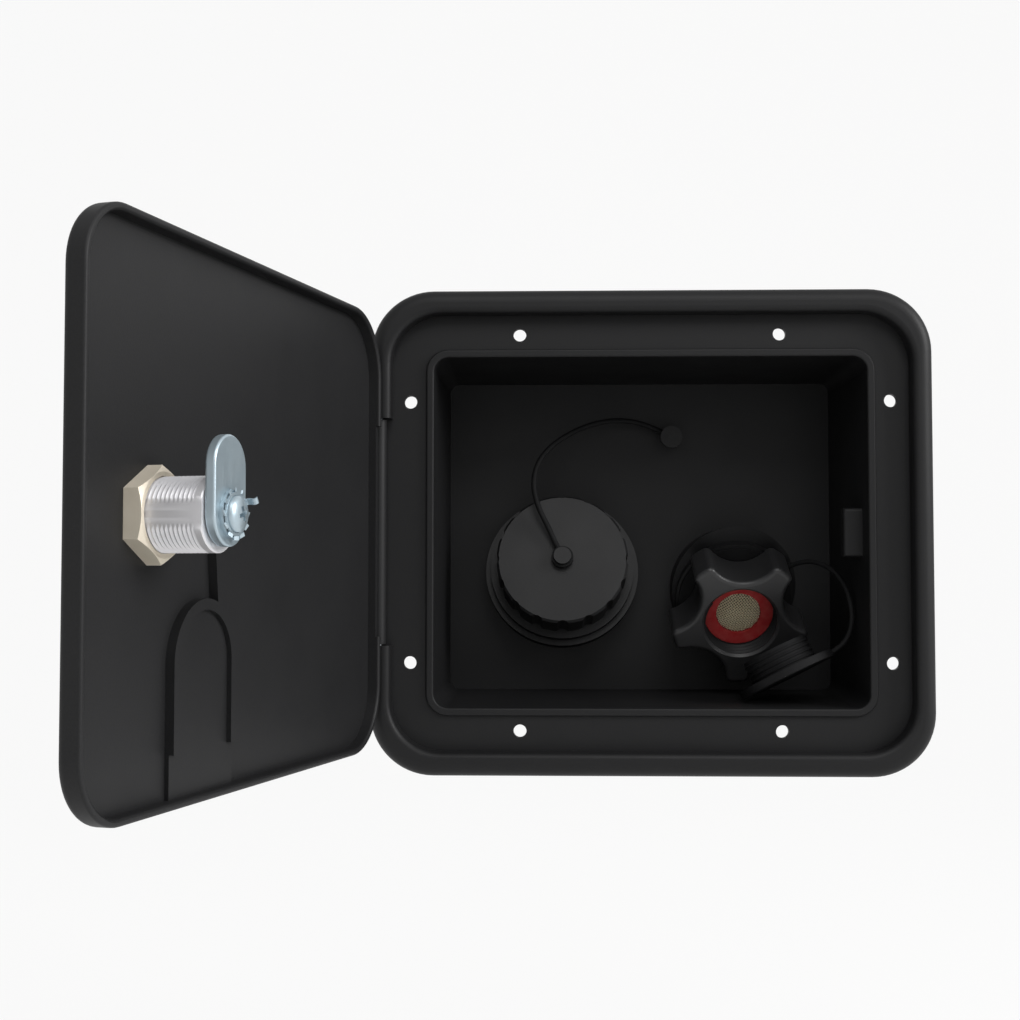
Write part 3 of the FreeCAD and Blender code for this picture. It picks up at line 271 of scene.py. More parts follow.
def moulded_plastic(name, colour, roughness, specular):
    """Injection-moulded ABS: even black with an etched grain and faint waves."""
    material, tree = new_material(name)
    place = add_node(tree, "ShaderNodeTexCoord").outputs["Object"]
    grain = add_node(tree, "ShaderNodeTexNoise", Vector=place, Scale=1 / (ETCH_GRAIN_MM * MM),
                     Detail=ETCH_DETAIL)
    wave = add_node(tree, "ShaderNodeTexNoise", Vector=place, Scale=1 / (SINK_WAVE_MM * MM),
                    Detail=SINK_DETAIL)
    dark = [channel * (1 - TONE_SPREAD) for channel in linear(colour)[:3]] + [1.0]
    light = [channel * (1 + TONE_SPREAD) for channel in linear(colour)[:3]] + [1.0]
    tone = add_node(tree, "ShaderNodeMix", {"data_type": "RGBA"}, _0=grain, _6=dark, _7=light)
    rough = add_node(tree, "ShaderNodeMapRange", _0=wave, _1=NOISE_LOW, _2=NOISE_HIGH,
                     _3=roughness - ROUGHNESS_SPREAD, _4=roughness + ROUGHNESS_SPREAD)
    swell = add_node(tree, "ShaderNodeBump", Strength=SINK_STRENGTH, Distance=SINK_DEPTH_MM * MM,
                     Height=wave)
    etched = add_node(tree, "ShaderNodeBump", Strength=ETCH_STRENGTH, Distance=ETCH_DEPTH_MM * MM,
                      Height=grain, Normal=swell)
    shader = add_node(tree, "ShaderNodeBsdfPrincipled", Base_Color=tone, Roughness=rough, Normal=etched,
                      IOR=ABS_IOR, Specular_IOR_Level=specular)
    add_node(tree, "ShaderNodeOutputMaterial", Surface=shader)
    return material


# An etched tool: a soft grey sheen, and no clear reflection.
HOUSING_ABS = moulded_plastic("etched_abs_housing", "#19191a", roughness=0.5, specular=0.24)
# The same etching on a wide flat sheet: the sheen is broader and duller.
# Its lighter black is painted light for the strong lamp light on the door's inside.
DOOR_ABS = moulded_plastic("etched_abs_door", "#1f1f20", roughness=0.52, specular=0.25)
# The same plastic in a deeper black, with small highlights on the flutes and rims.
FITTING_ABS = moulded_plastic("moulded_abs_fittings", "#141415", roughness=0.5, specular=0.3)
# A polished tool: bright lines along the rounded lobes. Its lighter grey is painted light
# for the light that falls on the lobes.
SWIVEL_ABS = moulded_plastic("polished_abs_swivel", "#2a2a2b", roughness=0.4, specular=0.42)
print("plastics", HOUSING_ABS.name, DOOR_ABS.name, FITTING_ABS.name, SWIVEL_ABS.name)

# %% [markdown]
# The soft pieces are rubber and soft PVC. Neither has a sharp highlight, so the specular level is
# low. The red hose washer is the one strong colour of the object, a little blotchy where talc from
# the mould is left on it. Both are the same recipe, a matt surface with two mixed tones.

# %% Rubber and soft PVC
TALC_BLOTCH_MM = 3.0
TALC_DEPTH_MM = 0.1
TALC_STRENGTH = 0.15
TALC_DETAIL = 5.0
RUBBER_SPECULAR = 0.18


def soft_rubber(name, colour, dusty, roughness):
    """Moulded rubber: matt, with dusty blotches."""
    material, tree = new_material(name)
    place = add_node(tree, "ShaderNodeTexCoord").outputs["Object"]
    blotch = add_node(tree, "ShaderNodeTexNoise", Vector=place, Scale=1 / (TALC_BLOTCH_MM * MM),
                      Detail=TALC_DETAIL)
    share = add_node(tree, "ShaderNodeMapRange", _0=blotch, _1=NOISE_LOW, _2=NOISE_HIGH)
    tone = add_node(tree, "ShaderNodeMix", {"data_type": "RGBA"}, _0=share,
                    _6=linear(colour), _7=linear(dusty))
    skin = add_node(tree, "ShaderNodeBump", Strength=TALC_STRENGTH, Distance=TALC_DEPTH_MM * MM,
                    Height=blotch)
    shader = add_node(tree, "ShaderNodeBsdfPrincipled", Base_Color=tone, Roughness=roughness,
                      Normal=skin, Specular_IOR_Level=RUBBER_SPECULAR)
    add_node(tree, "ShaderNodeOutputMaterial", Surface=shader)
    return material


# Talc on pressed rubber: a strong red with paler clouds.
RED_RUBBER = soft_rubber("pressed_red_rubber", "#a62629", "#b04442", roughness=0.55)
# Soft PVC straight from the mould: a dull black that hardly shines.
SOFT_PVC = soft_rubber("moulded_soft_pvc", "#101011", "#161617", roughness=0.7)
print("soft materials", RED_RUBBER.name, SOFT_PVC.name)

# %% [markdown]
# The lock is plated metal. Zinc plating has a cold, slightly blue cast, and the nut is nickel, which
# is warmer and a little yellow. Drum plating is satin: its surface is a crust of fine crystals, which
# scatters part of the light like paint and mirrors the rest. So each finish is a blend of the two,
# set by its metallic share, with faint streaks in the roughness.

# %% Plated metals
STREAK_MM = 0.6
STREAK_STRETCH = 14.0
STREAK_DEPTH_MM = 0.03
STREAK_STRENGTH = 0.05
STREAK_SPREAD = 0.05
STREAK_DETAIL = 4.0
CLOUD_MM = 6.0
CLOUD_DETAIL = 3.0


def plated_metal(name, colour, shade, roughness, metallic):
    """Plated steel: streaked roughness and a slightly cloudy colour."""
    material, tree = new_material(name)
    place = add_node(tree, "ShaderNodeTexCoord").outputs["Object"]
    stretch = add_node(tree, "ShaderNodeMapping", Vector=place, Scale=(1.0, 1.0, 1 / STREAK_STRETCH))
    streak = add_node(tree, "ShaderNodeTexNoise", Vector=stretch, Scale=1 / (STREAK_MM * MM),
                      Detail=STREAK_DETAIL)
    cloud = add_node(tree, "ShaderNodeTexNoise", Vector=place, Scale=1 / (CLOUD_MM * MM),
                     Detail=CLOUD_DETAIL)
    tone = add_node(tree, "ShaderNodeMix", {"data_type": "RGBA"}, _0=cloud,
                    _6=linear(shade), _7=linear(colour))
    rough = add_node(tree, "ShaderNodeMapRange", _0=streak, _1=NOISE_LOW, _2=NOISE_HIGH,
                     _3=roughness - STREAK_SPREAD, _4=roughness + STREAK_SPREAD)
    rolled = add_node(tree, "ShaderNodeBump", Strength=STREAK_STRENGTH, Distance=STREAK_DEPTH_MM * MM,
                      Height=streak)
    shader = add_node(tree, "ShaderNodeBsdfPrincipled", Base_Color=tone, Metallic=metallic,
                      Roughness=rough, Normal=rolled)
    add_node(tree, "ShaderNodeOutputMaterial", Surface=shader)
    return material


# Bright zinc on pressed steel: a cold blue-grey with soft reflections.
ZINC_PLATE = plated_metal("zinc_plated_steel", "#c0ced5", "#a9bac4",
                          roughness=0.4, metallic=0.75)
# Satin chrome on a casting: nearly white, and brightest along the thread.
LOCK_CHROME = plated_metal("satin_chrome_casting", "#f1f0f2", "#e0dfe3",
                           roughness=0.42, metallic=0.4)
# Drum-plated nickel: warm and milky, with little mirror left.
NICKEL_PLATE = plated_metal("nickel_plated_steel", "#f6ecda", "#e4d9c5",
                            roughness=0.5, metallic=0.25)
# Drawn wire: a plain grey mirror with lines along it.
PIN_STEEL = plated_metal("drawn_steel_pin", "#b9bcc0", "#8f9398",
                         roughness=0.3, metallic=1.0)
# Woven wire: a pale straw colour that sparkles from wire to wire.
STRAINER_WIRE = plated_metal("woven_strainer_wire", "#e6dcc0", "#cfc4a6",
                             roughness=0.45, metallic=0.5)
print("metals", ZINC_PLATE.name, LOCK_CHROME.name, NICKEL_PLATE.name, PIN_STEEL.name,
      STRAINER_WIRE.name)

# %% [markdown]
# Now each CAD node gets the finish of what it is moulded or plated from. The nodes that a finer
# piece will stand for are listed too, so that nothing is left bare if that piece is taken out.

# %% Dress the CAD nodes
FINISHES = {
    "housing": HOUSING_ABS, "hinge_pin": PIN_STEEL, "door_panel": DOOR_ABS,
    "lock_barrel": LOCK_CHROME, "lock_nut": NICKEL_PLATE, "lock_plug": LOCK_CHROME,
    "lock_cam": ZINC_PLATE, "cam_washer": ZINC_PLATE, "cam_screw": ZINC_PLATE,
    "fill_neck": FITTING_ABS, "fill_cap": FITTING_ABS, "cap_tether": SOFT_PVC,
    "tether_eye": SOFT_PVC, "tether_anchor": FITTING_ABS, "inlet_body": FITTING_ABS,
    "inlet_swivel": SWIVEL_ABS, "inlet_washer": RED_RUBBER, "inlet_screen": STRAINER_WIRE,
    "plug_ring": SOFT_PVC, "plug_tether": SOFT_PVC, "inlet_plug": SOFT_PVC,
}
for name, node in frame["nodes"].items():
    node.data.materials.clear()
    node.data.materials.append(FINISHES[name])
print("dressed", len(FINISHES), "nodes")

# %% [markdown]
# The tethers are soft cords that keep the cap and the plug from getting lost. A swept mesh would do,
# but each one is a single NURBS curve through the same route that its CAD tube takes, so it bends
# smoothly where the tube has arcs. The cap's tether runs from the eye on the cap's button to a post
# on the back wall, and the plug's tether from the ring round the inlet to the edge of the plug.

# %% Tethers
CAP_TETHER_ROUTE = [
    (-31.6, 28.5, -5.8), (-35.2, 28.4, 2.2), (-39.6, 28.8, 10.8), (-41.2, 30.6, 19.4),
    (-39.2, 33.8, 27.6), (-33.6, 37.6, 34.2), (-26.2, 41.4, 39.2), (-17.4, 45.4, 43.0),
    (-8.0, 49.0, 44.6), (2.4, 51.8, 43.2), (11.2, 52.9, 38.9),
]
PLUG_TETHER_ROUTE = [
    (51.4, 38.2, -13.7), (57.7, 35.3, -9.5), (66.2, 27.2, -10.9), (71.4, 20.0, -17.4),
    (73.0, 14.0, -27.2), (72.4, 13.0, -34.4), (69.2, 13.8, -40.6), (63.9, 14.5, -43.5),
]
CAP_TETHER_RADIUS_MM = 1.0
PLUG_TETHER_RADIUS_MM = 0.9
SPLINE_ORDER = 3
CORD_STEPS = 12
CORD_SIDES = 6


def make_tether(name, route, radius_mm):
    """A round cord as one smooth NURBS curve along its route."""
    curve = bpy.data.curves.new(name, "CURVE")
    curve.dimensions = "3D"
    curve.bevel_depth = radius_mm * MM
    curve.bevel_resolution = CORD_SIDES
    curve.use_fill_caps = True
    spline = curve.splines.new("NURBS")
    spline.points.add(len(route) - 1)
    for point, place in zip(spline.points, route):
        point.co = [number * MM for number in place] + [1.0]
    spline.order_u = SPLINE_ORDER
    spline.use_endpoint_u = True
    spline.resolution_u = CORD_STEPS
    curve.materials.append(SOFT_PVC)
    cord = bpy.data.objects.new(name, curve)
    bpy.context.scene.collection.objects.link(cord)
    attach(cord, "housing")
    return cord


cap_cord = make_tether("cap_cord", CAP_TETHER_ROUTE, CAP_TETHER_RADIUS_MM)
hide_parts("cap_tether")
plug_cord = make_tether("plug_cord", PLUG_TETHER_ROUTE, PLUG_TETHER_RADIUS_MM)
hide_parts("plug_tether")

# %% [markdown]
# Several pieces stand on tilted axes: the lock on the open door, the swivel and the fill neck. Their
# axes are the joints of the model. For the lock and the swivel we keep a matrix that carries a point
# from a plain upright drawing, with the axis as Z, to its place on the object.

# %% Axes of the turning pieces
def joint_frame(name):
    """Matrix from an upright drawing about Z to the axis of a joint."""
    joint = next(joint for joint in frame["joints"] if joint["name"] == name)
    axis = Vector(joint["axis"]).normalized()
    side = Vector((0, 0, 1)).cross(axis).normalized()
    basis = Matrix((side, axis.cross(side), axis)).transposed()
    return Matrix.Translation(joint["pos_m"]) @ basis.to_4x4()


def span_on_axis(node, carry):
    """Lowest and highest place of a CAD node along a joint's axis."""
    back = carry.inverted()
    heights = [(back @ vertex.co).z for vertex in frame["nodes"][node].data.vertices]
    return min(heights), max(heights)


LOCK_FRAME = joint_frame("cam_turn")
SWIVEL_FRAME = joint_frame("swivel_turn")
print("lock barrel", [round(place / MM, 2) for place in span_on_axis("lock_barrel", LOCK_FRAME)])

# %% [markdown]
# A screw thread is a ridge that follows a helix. A bump in the material would not show on the outline,
# and the Screw modifier can't leave the flats of the lock free. Geometry Nodes do both: a spiral
# curve, a small diamond for its section, Curve to Mesh, and a Clamp that holds the ridge back to a
# half width. One tree makes all the threads, with inputs for the radius, pitch, turns and depth.

# %% Thread tree
SPIRAL_STEPS = 72
RIDGE_SIDES = 4


def new_tree(name, numbers):
    """A Geometry Nodes tree with named number inputs and one for the material."""
    tree = bpy.data.node_groups.new(name, "GeometryNodeTree")
    tree.interface.new_socket("Geometry", in_out="OUTPUT", socket_type="NodeSocketGeometry")
    for number in numbers:
        tree.interface.new_socket(number, in_out="INPUT", socket_type="NodeSocketFloat")
    tree.interface.new_socket("Material", in_out="INPUT", socket_type="NodeSocketMaterial")
    return tree, tree.nodes.new("NodeGroupInput").outputs


def end_tree(tree, geometry, material):
    """Makes all copies real, gives them their finish and ends the tree."""
    real = add_node(tree, "GeometryNodeRealizeInstances", Geometry=geometry)
    dressed = add_node(tree, "GeometryNodeSetMaterial", Geometry=real, Material=material)
    add_node(tree, "NodeGroupOutput", Geometry=dressed)
    return tree


def thread_tree():
    """A helical ridge about Z that starts at the origin's height."""
    tree, given = new_tree("screw_thread", ("Radius", "Pitch", "Turns", "Depth", "Half width"))
    height = add_node(tree, "ShaderNodeMath", {"operation": "MULTIPLY"},
                      _0=given["Pitch"], _1=given["Turns"])
    spiral = add_node(tree, "GeometryNodeCurveSpiral", Resolution=SPIRAL_STEPS,
                      Rotations=given["Turns"], Start_Radius=given["Radius"],
                      End_Radius=given["Radius"], Height=height)
    upright = add_node(tree, "GeometryNodeSetCurveNormal", {"mode": "Z_UP"}, Curve=spiral)
    section = add_node(tree, "GeometryNodeCurvePrimitiveCircle", Resolution=RIDGE_SIDES,
                       Radius=given["Depth"])
    ridge = add_node(tree, "GeometryNodeCurveToMesh", Curve=upright, Profile_Curve=section,
                     Fill_Caps=True)
    place = add_node(tree, "GeometryNodeInputPosition")
    parts = add_node(tree, "ShaderNodeSeparateXYZ", Vector=place).outputs
    low = add_node(tree, "ShaderNodeMath", {"operation": "MULTIPLY"}, _0=given["Half width"], _1=-1.0)
    held = add_node(tree, "ShaderNodeClamp", Value=parts["X"], Min=low, Max=given["Half width"])
    moved = add_node(tree, "ShaderNodeCombineXYZ", X=held, Y=parts["Y"], Z=parts["Z"])
    cut = add_node(tree, "GeometryNodeSetPosition", Geometry=ridge, Position=moved)
    return end_tree(tree, cut, given["Material"])


def grown(name, tree, inputs, carry):
    """Runs a Geometry Nodes tree once and keeps its result as a plain mesh at its place."""
    seed = bpy.data.objects.new(name + "_seed", bpy.data.meshes.new(name + "_seed"))
    bpy.context.scene.collection.objects.link(seed)
    modifier = seed.modifiers.new("tree", "NODES")
    modifier.node_group = tree
    for item in tree.interface.items_tree:
        if item.in_out == "INPUT":
            modifier[item.identifier] = inputs[item.name]
    graph = bpy.context.evaluated_depsgraph_get()
    mesh = bpy.data.meshes.new_from_object(seed.evaluated_get(graph))
    bpy.data.objects.remove(seed)
    mesh.name = name
    mesh.transform(carry)
    piece = bpy.data.objects.new(name, mesh)
    bpy.context.scene.collection.objects.link(piece)
    print(name, len(mesh.polygons), "faces")
    return piece


THREAD_TREE = thread_tree()
print("thread tree", len(THREAD_TREE.nodes), "nodes")

# %% [markdown]
# Round pieces such as the lock's barrel and its screw come off a lathe or out of a round mould, so
# they are drawn the same way: a profile of radius and height pairs is turned about Z. Spin or the
# Screw modifier could do it too, but they leave doubled points at the seam. Here the last column of
# faces joins the first, so the seam is closed from the start.

# %% Turning helpers
TURN_STEPS = 96
SHARP_ANGLE = math.radians(35)


def to_piece(name, mesh, carry):
    """Makes an object of a bmesh, with its faces outwards and its place in its mesh."""
    bmesh.ops.recalc_face_normals(mesh, faces=mesh.faces)
    data = bpy.data.meshes.new(name)
    mesh.to_mesh(data)
    mesh.free()
    data.transform(carry)
    piece = bpy.data.objects.new(name, data)
    bpy.context.scene.collection.objects.link(piece)
    return piece


def turned(name, profile, carry, half_width=None, above=None, steps=TURN_STEPS):
    """A mesh turned about Z from radius and height pairs, pressed flat above a height."""
    mesh = bmesh.new()
    rings = []
    for radius, height in profile:
        ring = []
        for step in range(steps):
            angle = 2 * math.pi * step / steps
            x = radius * math.cos(angle)
            if half_width and height > above:
                x = max(-half_width, min(half_width, x))
            ring.append(mesh.verts.new((x, radius * math.sin(angle), height)))
        rings.append(ring)
    for ring, following in zip(rings, rings[1:] + rings[:1]):
        for step in range(steps):
            after = (step + 1) % steps
            mesh.faces.new((ring[step], ring[after], following[after], following[step]))
    return to_piece(name, mesh, carry)


def finish_piece(piece, body, material=None):
    """Gives a piece its finish and smooth faces, and lets it ride on its body."""
    if material:
        piece.data.materials.clear()
        piece.data.materials.append(material)
    piece.data.shade_smooth()
    piece.data.set_sharp_from_angle(angle=SHARP_ANGLE)
    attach(piece, body)


print("turned with", TURN_STEPS, "steps, sharp past", round(math.degrees(SHARP_ANGLE)), "degrees")

# %% [markdown]
# The lock's barrel is a die casting: a bezel outside the door, then a threaded body with two flats
# that stop it turning in its hole, and a short plain collar under the cam. The CAD solid has no
# thread, and the thread shows on the barrel's outline. So we turn the smooth body anew, press its
# sides flat, and add the thread as a ridge over its core.

# %% Lock barrel
BARREL_RADIUS = 9.5 * MM
BARREL_HALF_FLAT = 8.7 * MM
BARREL_THREAD_PITCH = 1.2 * MM
BARREL_THREAD_DEPTH = 0.5 * MM
BARREL_COLLAR = 2.0 * MM
BARREL_BORE = 6.45 * MM
BARREL_EDGE = 0.3 * MM
BEZEL_RADIUS = 11.5 * MM
BEZEL_HEIGHT = 2.2 * MM
BEZEL_EDGE = 0.8 * MM
THREAD_UNDER_NUT = 3
THREAD_FLAT_GAP = 0.05 * MM

barrel_low, barrel_high = span_on_axis("lock_barrel", LOCK_FRAME)
nut_high = span_on_axis("lock_nut", LOCK_FRAME)[1]
bezel_back = barrel_low + BEZEL_HEIGHT
barrel_core = BARREL_RADIUS - BARREL_THREAD_DEPTH
collar_foot = barrel_high - BARREL_COLLAR
barrel = turned("lock_barrel_body", [
    (BARREL_BORE, barrel_low), (BEZEL_RADIUS - BEZEL_EDGE, barrel_low),
    (BEZEL_RADIUS, barrel_low + BEZEL_EDGE), (BEZEL_RADIUS, bezel_back), (barrel_core, bezel_back),
    (barrel_core, bezel_back + BARREL_EDGE), (barrel_core, collar_foot), (BARREL_RADIUS, collar_foot),
    (BARREL_RADIUS, barrel_high - BARREL_EDGE), (BARREL_RADIUS - BARREL_EDGE, barrel_high),
    (BARREL_BORE, barrel_high)], LOCK_FRAME, BARREL_HALF_FLAT, bezel_back)
finish_piece(barrel, "door", LOCK_CHROME)
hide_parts("lock_barrel")
thread_turns = math.floor((collar_foot - nut_high) / BARREL_THREAD_PITCH) + THREAD_UNDER_NUT
thread_foot = collar_foot - thread_turns * BARREL_THREAD_PITCH
barrel_thread = grown("lock_barrel_thread", THREAD_TREE, {
    "Radius": barrel_core, "Pitch": BARREL_THREAD_PITCH, "Turns": float(thread_turns),
    "Depth": BARREL_THREAD_DEPTH, "Half width": BARREL_HALF_FLAT - THREAD_FLAT_GAP,
    "Material": LOCK_CHROME}, LOCK_FRAME @ Matrix.Translation((0, 0, thread_foot)))
finish_piece(barrel_thread, "door")

# %% [markdown]
# The cam is held by a pan-head screw with a cross recess. A dark cross painted on the head would look
# flat from the side, so the recess is real. The head is a shallow dome, turned like the barrel, and
# the recess is cut with a Boolean of two crossed, tapering blades.

# %% Cam screw
SCREW_HEAD_RADIUS = 4.5 * MM
SCREW_RADIUS = 2.0 * MM
RECESS_WIDTH = 1.3 * MM
RECESS_SPAN = 2.6 * MM
RECESS_DEPTH = 1.7 * MM
RECESS_TURN = math.radians(20)
BLADE_SPAN_TAPER = 0.5
BLADE_WIDTH_TAPER = 0.6
HEAD_HEIGHT = 2.6 * MM
HEAD_WALL = 0.9 * MM
POLE_RADIUS = 1e-6
DOME_STEPS = 8
SCREW_STEPS = 48

screw_low, screw_high = span_on_axis("cam_screw", LOCK_FRAME)
head_foot = screw_high - HEAD_HEIGHT
dome = []
for step in range(DOME_STEPS + 1):
    angle = math.pi / 2 * step / DOME_STEPS
    dome.append((SCREW_HEAD_RADIUS * math.cos(angle) + POLE_RADIUS,
                 head_foot + HEAD_WALL + (HEAD_HEIGHT - HEAD_WALL) * math.sin(angle)))
screw = turned("cam_screw_head", [
    (POLE_RADIUS, screw_low), (SCREW_RADIUS, screw_low), (SCREW_RADIUS, head_foot),
    (SCREW_HEAD_RADIUS, head_foot)] + dome, LOCK_FRAME, steps=SCREW_STEPS)


def cross_blade(turn):
    """One tapering blade of the cross recess."""
    mesh = bmesh.new()
    bmesh.ops.create_cube(mesh, size=1.0)
    for corner in mesh.verts:
        deep = corner.co.z < 0
        corner.co.x *= (BLADE_SPAN_TAPER if deep else 1.0) * 2 * RECESS_SPAN
        corner.co.y *= (BLADE_WIDTH_TAPER if deep else 1.0) * RECESS_WIDTH
        corner.co.z *= 2 * RECESS_DEPTH
    top = LOCK_FRAME @ Matrix.Translation((0, 0, screw_high))
    return to_piece("blade", mesh, top @ Matrix.Rotation(turn, 4, "Z"))


def cut_by(piece, cutter):
    """Cuts one mesh out of another, and removes the cutter."""
    modifier = piece.modifiers.new("cut", "BOOLEAN")
    modifier.operation = "DIFFERENCE"
    modifier.object = cutter
    modifier.solver = "EXACT"
    graph = bpy.context.evaluated_depsgraph_get()
    result = bpy.data.meshes.new_from_object(piece.evaluated_get(graph))
    piece.modifiers.clear()
    piece.data = result
    bpy.data.objects.remove(cutter)


for turn in (RECESS_TURN, RECESS_TURN + math.pi / 2):
    cut_by(screw, cross_blade(turn))
finish_piece(screw, "lock", ZINC_PLATE)
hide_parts("cam_screw")
print("screw faces", len(screw.data.polygons))

# %% [markdown]
# Round the screw's head lies a spring washer with twisted teeth, which bite into the plates so that
# the screw can't work loose. The teeth could be placed one by one, but they repeat, so Geometry Nodes
# set them round a circle, each turned to face outwards and then twisted. The number of teeth is an
# input of the tree.

# %% Toothed washer
TOOTH_RING_RADIUS = 5.0 * MM
TOOTH_RING_WIDTH = 0.8 * MM
TOOTH_STRIP = 0.4 * MM
TOOTH_COUNT = 12
TOOTH_LENGTH = 1.0 * MM
TOOTH_WIDTH = 1.5 * MM
TOOTH_TWIST = math.radians(22)
TOOTH_LIFT = 0.45 * MM
TOOTH_MIDDLE = TOOTH_RING_RADIUS + (TOOTH_RING_WIDTH + TOOTH_LENGTH) / 2


def toothed_ring_tree():
    """A flat ring about Z with twisted teeth round it."""
    tree, given = new_tree("toothed_washer", ("Radius", "Ring width", "Strip", "Teeth", "Tooth radius",
                                              "Tooth length", "Tooth width", "Twist"))
    circle = add_node(tree, "GeometryNodeCurvePrimitiveCircle", Resolution=TURN_STEPS,
                      Radius=given["Radius"])
    level = add_node(tree, "GeometryNodeSetCurveNormal", {"mode": "Z_UP"}, Curve=circle)
    section = add_node(tree, "GeometryNodeCurvePrimitiveQuadrilateral", Width=given["Ring width"],
                       Height=given["Strip"])
    ring = add_node(tree, "GeometryNodeCurveToMesh", Curve=level, Profile_Curve=section)
    spots = add_node(tree, "GeometryNodeMeshCircle", Vertices=given["Teeth"],
                     Radius=given["Tooth radius"])
    place = add_node(tree, "GeometryNodeInputPosition")
    outward = add_node(tree, "FunctionNodeAlignRotationToVector", {"axis": "X", "pivot_axis": "Z"},
                       Vector=place)
    twist = add_node(tree, "ShaderNodeCombineXYZ", X=given["Twist"])
    turned_tooth = add_node(tree, "FunctionNodeRotateRotation", {"rotation_space": "LOCAL"},
                            Rotation=outward, Rotate_By=twist)
    block = add_node(tree, "ShaderNodeCombineXYZ", X=given["Tooth length"], Y=given["Tooth width"],
                     Z=given["Strip"])
    tooth = add_node(tree, "GeometryNodeMeshCube", Size=block)
    teeth = add_node(tree, "GeometryNodeInstanceOnPoints", Points=spots, Instance=tooth,
                     Rotation=turned_tooth)
    gather = add_node(tree, "GeometryNodeJoinGeometry", Geometry=ring)
    tree.links.new(teeth.outputs[0], gather.inputs[0])
    return end_tree(tree, gather, given["Material"])


tooth_frame = LOCK_FRAME @ Matrix.Translation((0, 0, head_foot + TOOTH_LIFT))
toothed_washer = grown("toothed_washer", toothed_ring_tree(), {
    "Radius": TOOTH_RING_RADIUS, "Ring width": TOOTH_RING_WIDTH, "Strip": TOOTH_STRIP,
    "Teeth": float(TOOTH_COUNT), "Tooth radius": TOOTH_MIDDLE, "Tooth length": TOOTH_LENGTH,
    "Tooth width": TOOTH_WIDTH, "Twist": TOOTH_TWIST, "Material": ZINC_PLATE}, tooth_frame)
finish_piece(toothed_washer, "lock")

# %% [markdown]
# One long tab of the washer is bent up beside the head as a second lock. It is pressed from the same
# strip. A curve with a flat section could make it, but a strip of ten cross sections is just as short
# and has no hidden faces. Each section stands square to the path.

# %% Washer tab
TAB_TURN = math.radians(32)
TAB_HALF_WIDTH = 0.8 * MM
TAB_HALF_STRIP = 0.2 * MM
TAB_PATH_MM = [(5.2, 0.0), (5.6, 0.0), (6.0, 0.2), (6.2, 0.6), (6.2, 1.1), (6.1, 1.6), (6.1, 2.1),
               (6.3, 2.5), (6.7, 2.7), (7.1, 2.6)]


def bent_strip(name, path, half_width, half_strip, carry):
    """A strip bent along radius and height pairs."""
    mesh = bmesh.new()
    side = Vector((0, half_width, 0))
    rings = []
    for number, (radius, height) in enumerate(path):
        before = path[max(number - 1, 0)]
        after = path[min(number + 1, len(path) - 1)]
        run = Vector((after[0] - before[0], 0, after[1] - before[1])).normalized()
        across = Vector((-run.z, 0, run.x)) * half_strip
        middle = Vector((radius, 0, height))
        corners = (across + side, across - side, -across - side, -across + side)
        rings.append([mesh.verts.new(middle + corner) for corner in corners])
    for ring, following in zip(rings, rings[1:]):
        for number in range(len(ring)):
            mesh.faces.new((ring[number], ring[number - 1], following[number - 1], following[number]))
    mesh.faces.new(rings[0])
    mesh.faces.new(rings[-1])
    return to_piece(name, mesh, carry)


tab_path = [(radius * MM, height * MM) for radius, height in TAB_PATH_MM]
washer_tab = bent_strip("washer_tab", tab_path, TAB_HALF_WIDTH, TAB_HALF_STRIP,
                        tooth_frame @ Matrix.Rotation(TAB_TURN, 4, "Z"))
finish_piece(washer_tab, "lock", ZINC_PLATE)
print("washer tab", len(washer_tab.data.polygons), "faces")

# %% [markdown]
# The strainer in the hose washer is a little dome of woven wire, which keeps grit out of the pipes. A
# sheet with holes painted on it would look dead, because it is the bends of the wire that catch the
# light. So the wires are real, and each goes over and under the wires that cross it. A row of straight
# lines is laid out twice, once along each side, and Set Position lifts every point onto the dome and
# adds the weave as a product of two cosines, which changes sign from one crossing to the next.

# %% Strainer tree
WIRE_POINTS = 96
WIRE_SIDES = 5
QUARTER_TURN = (0, 0, math.pi / 2)


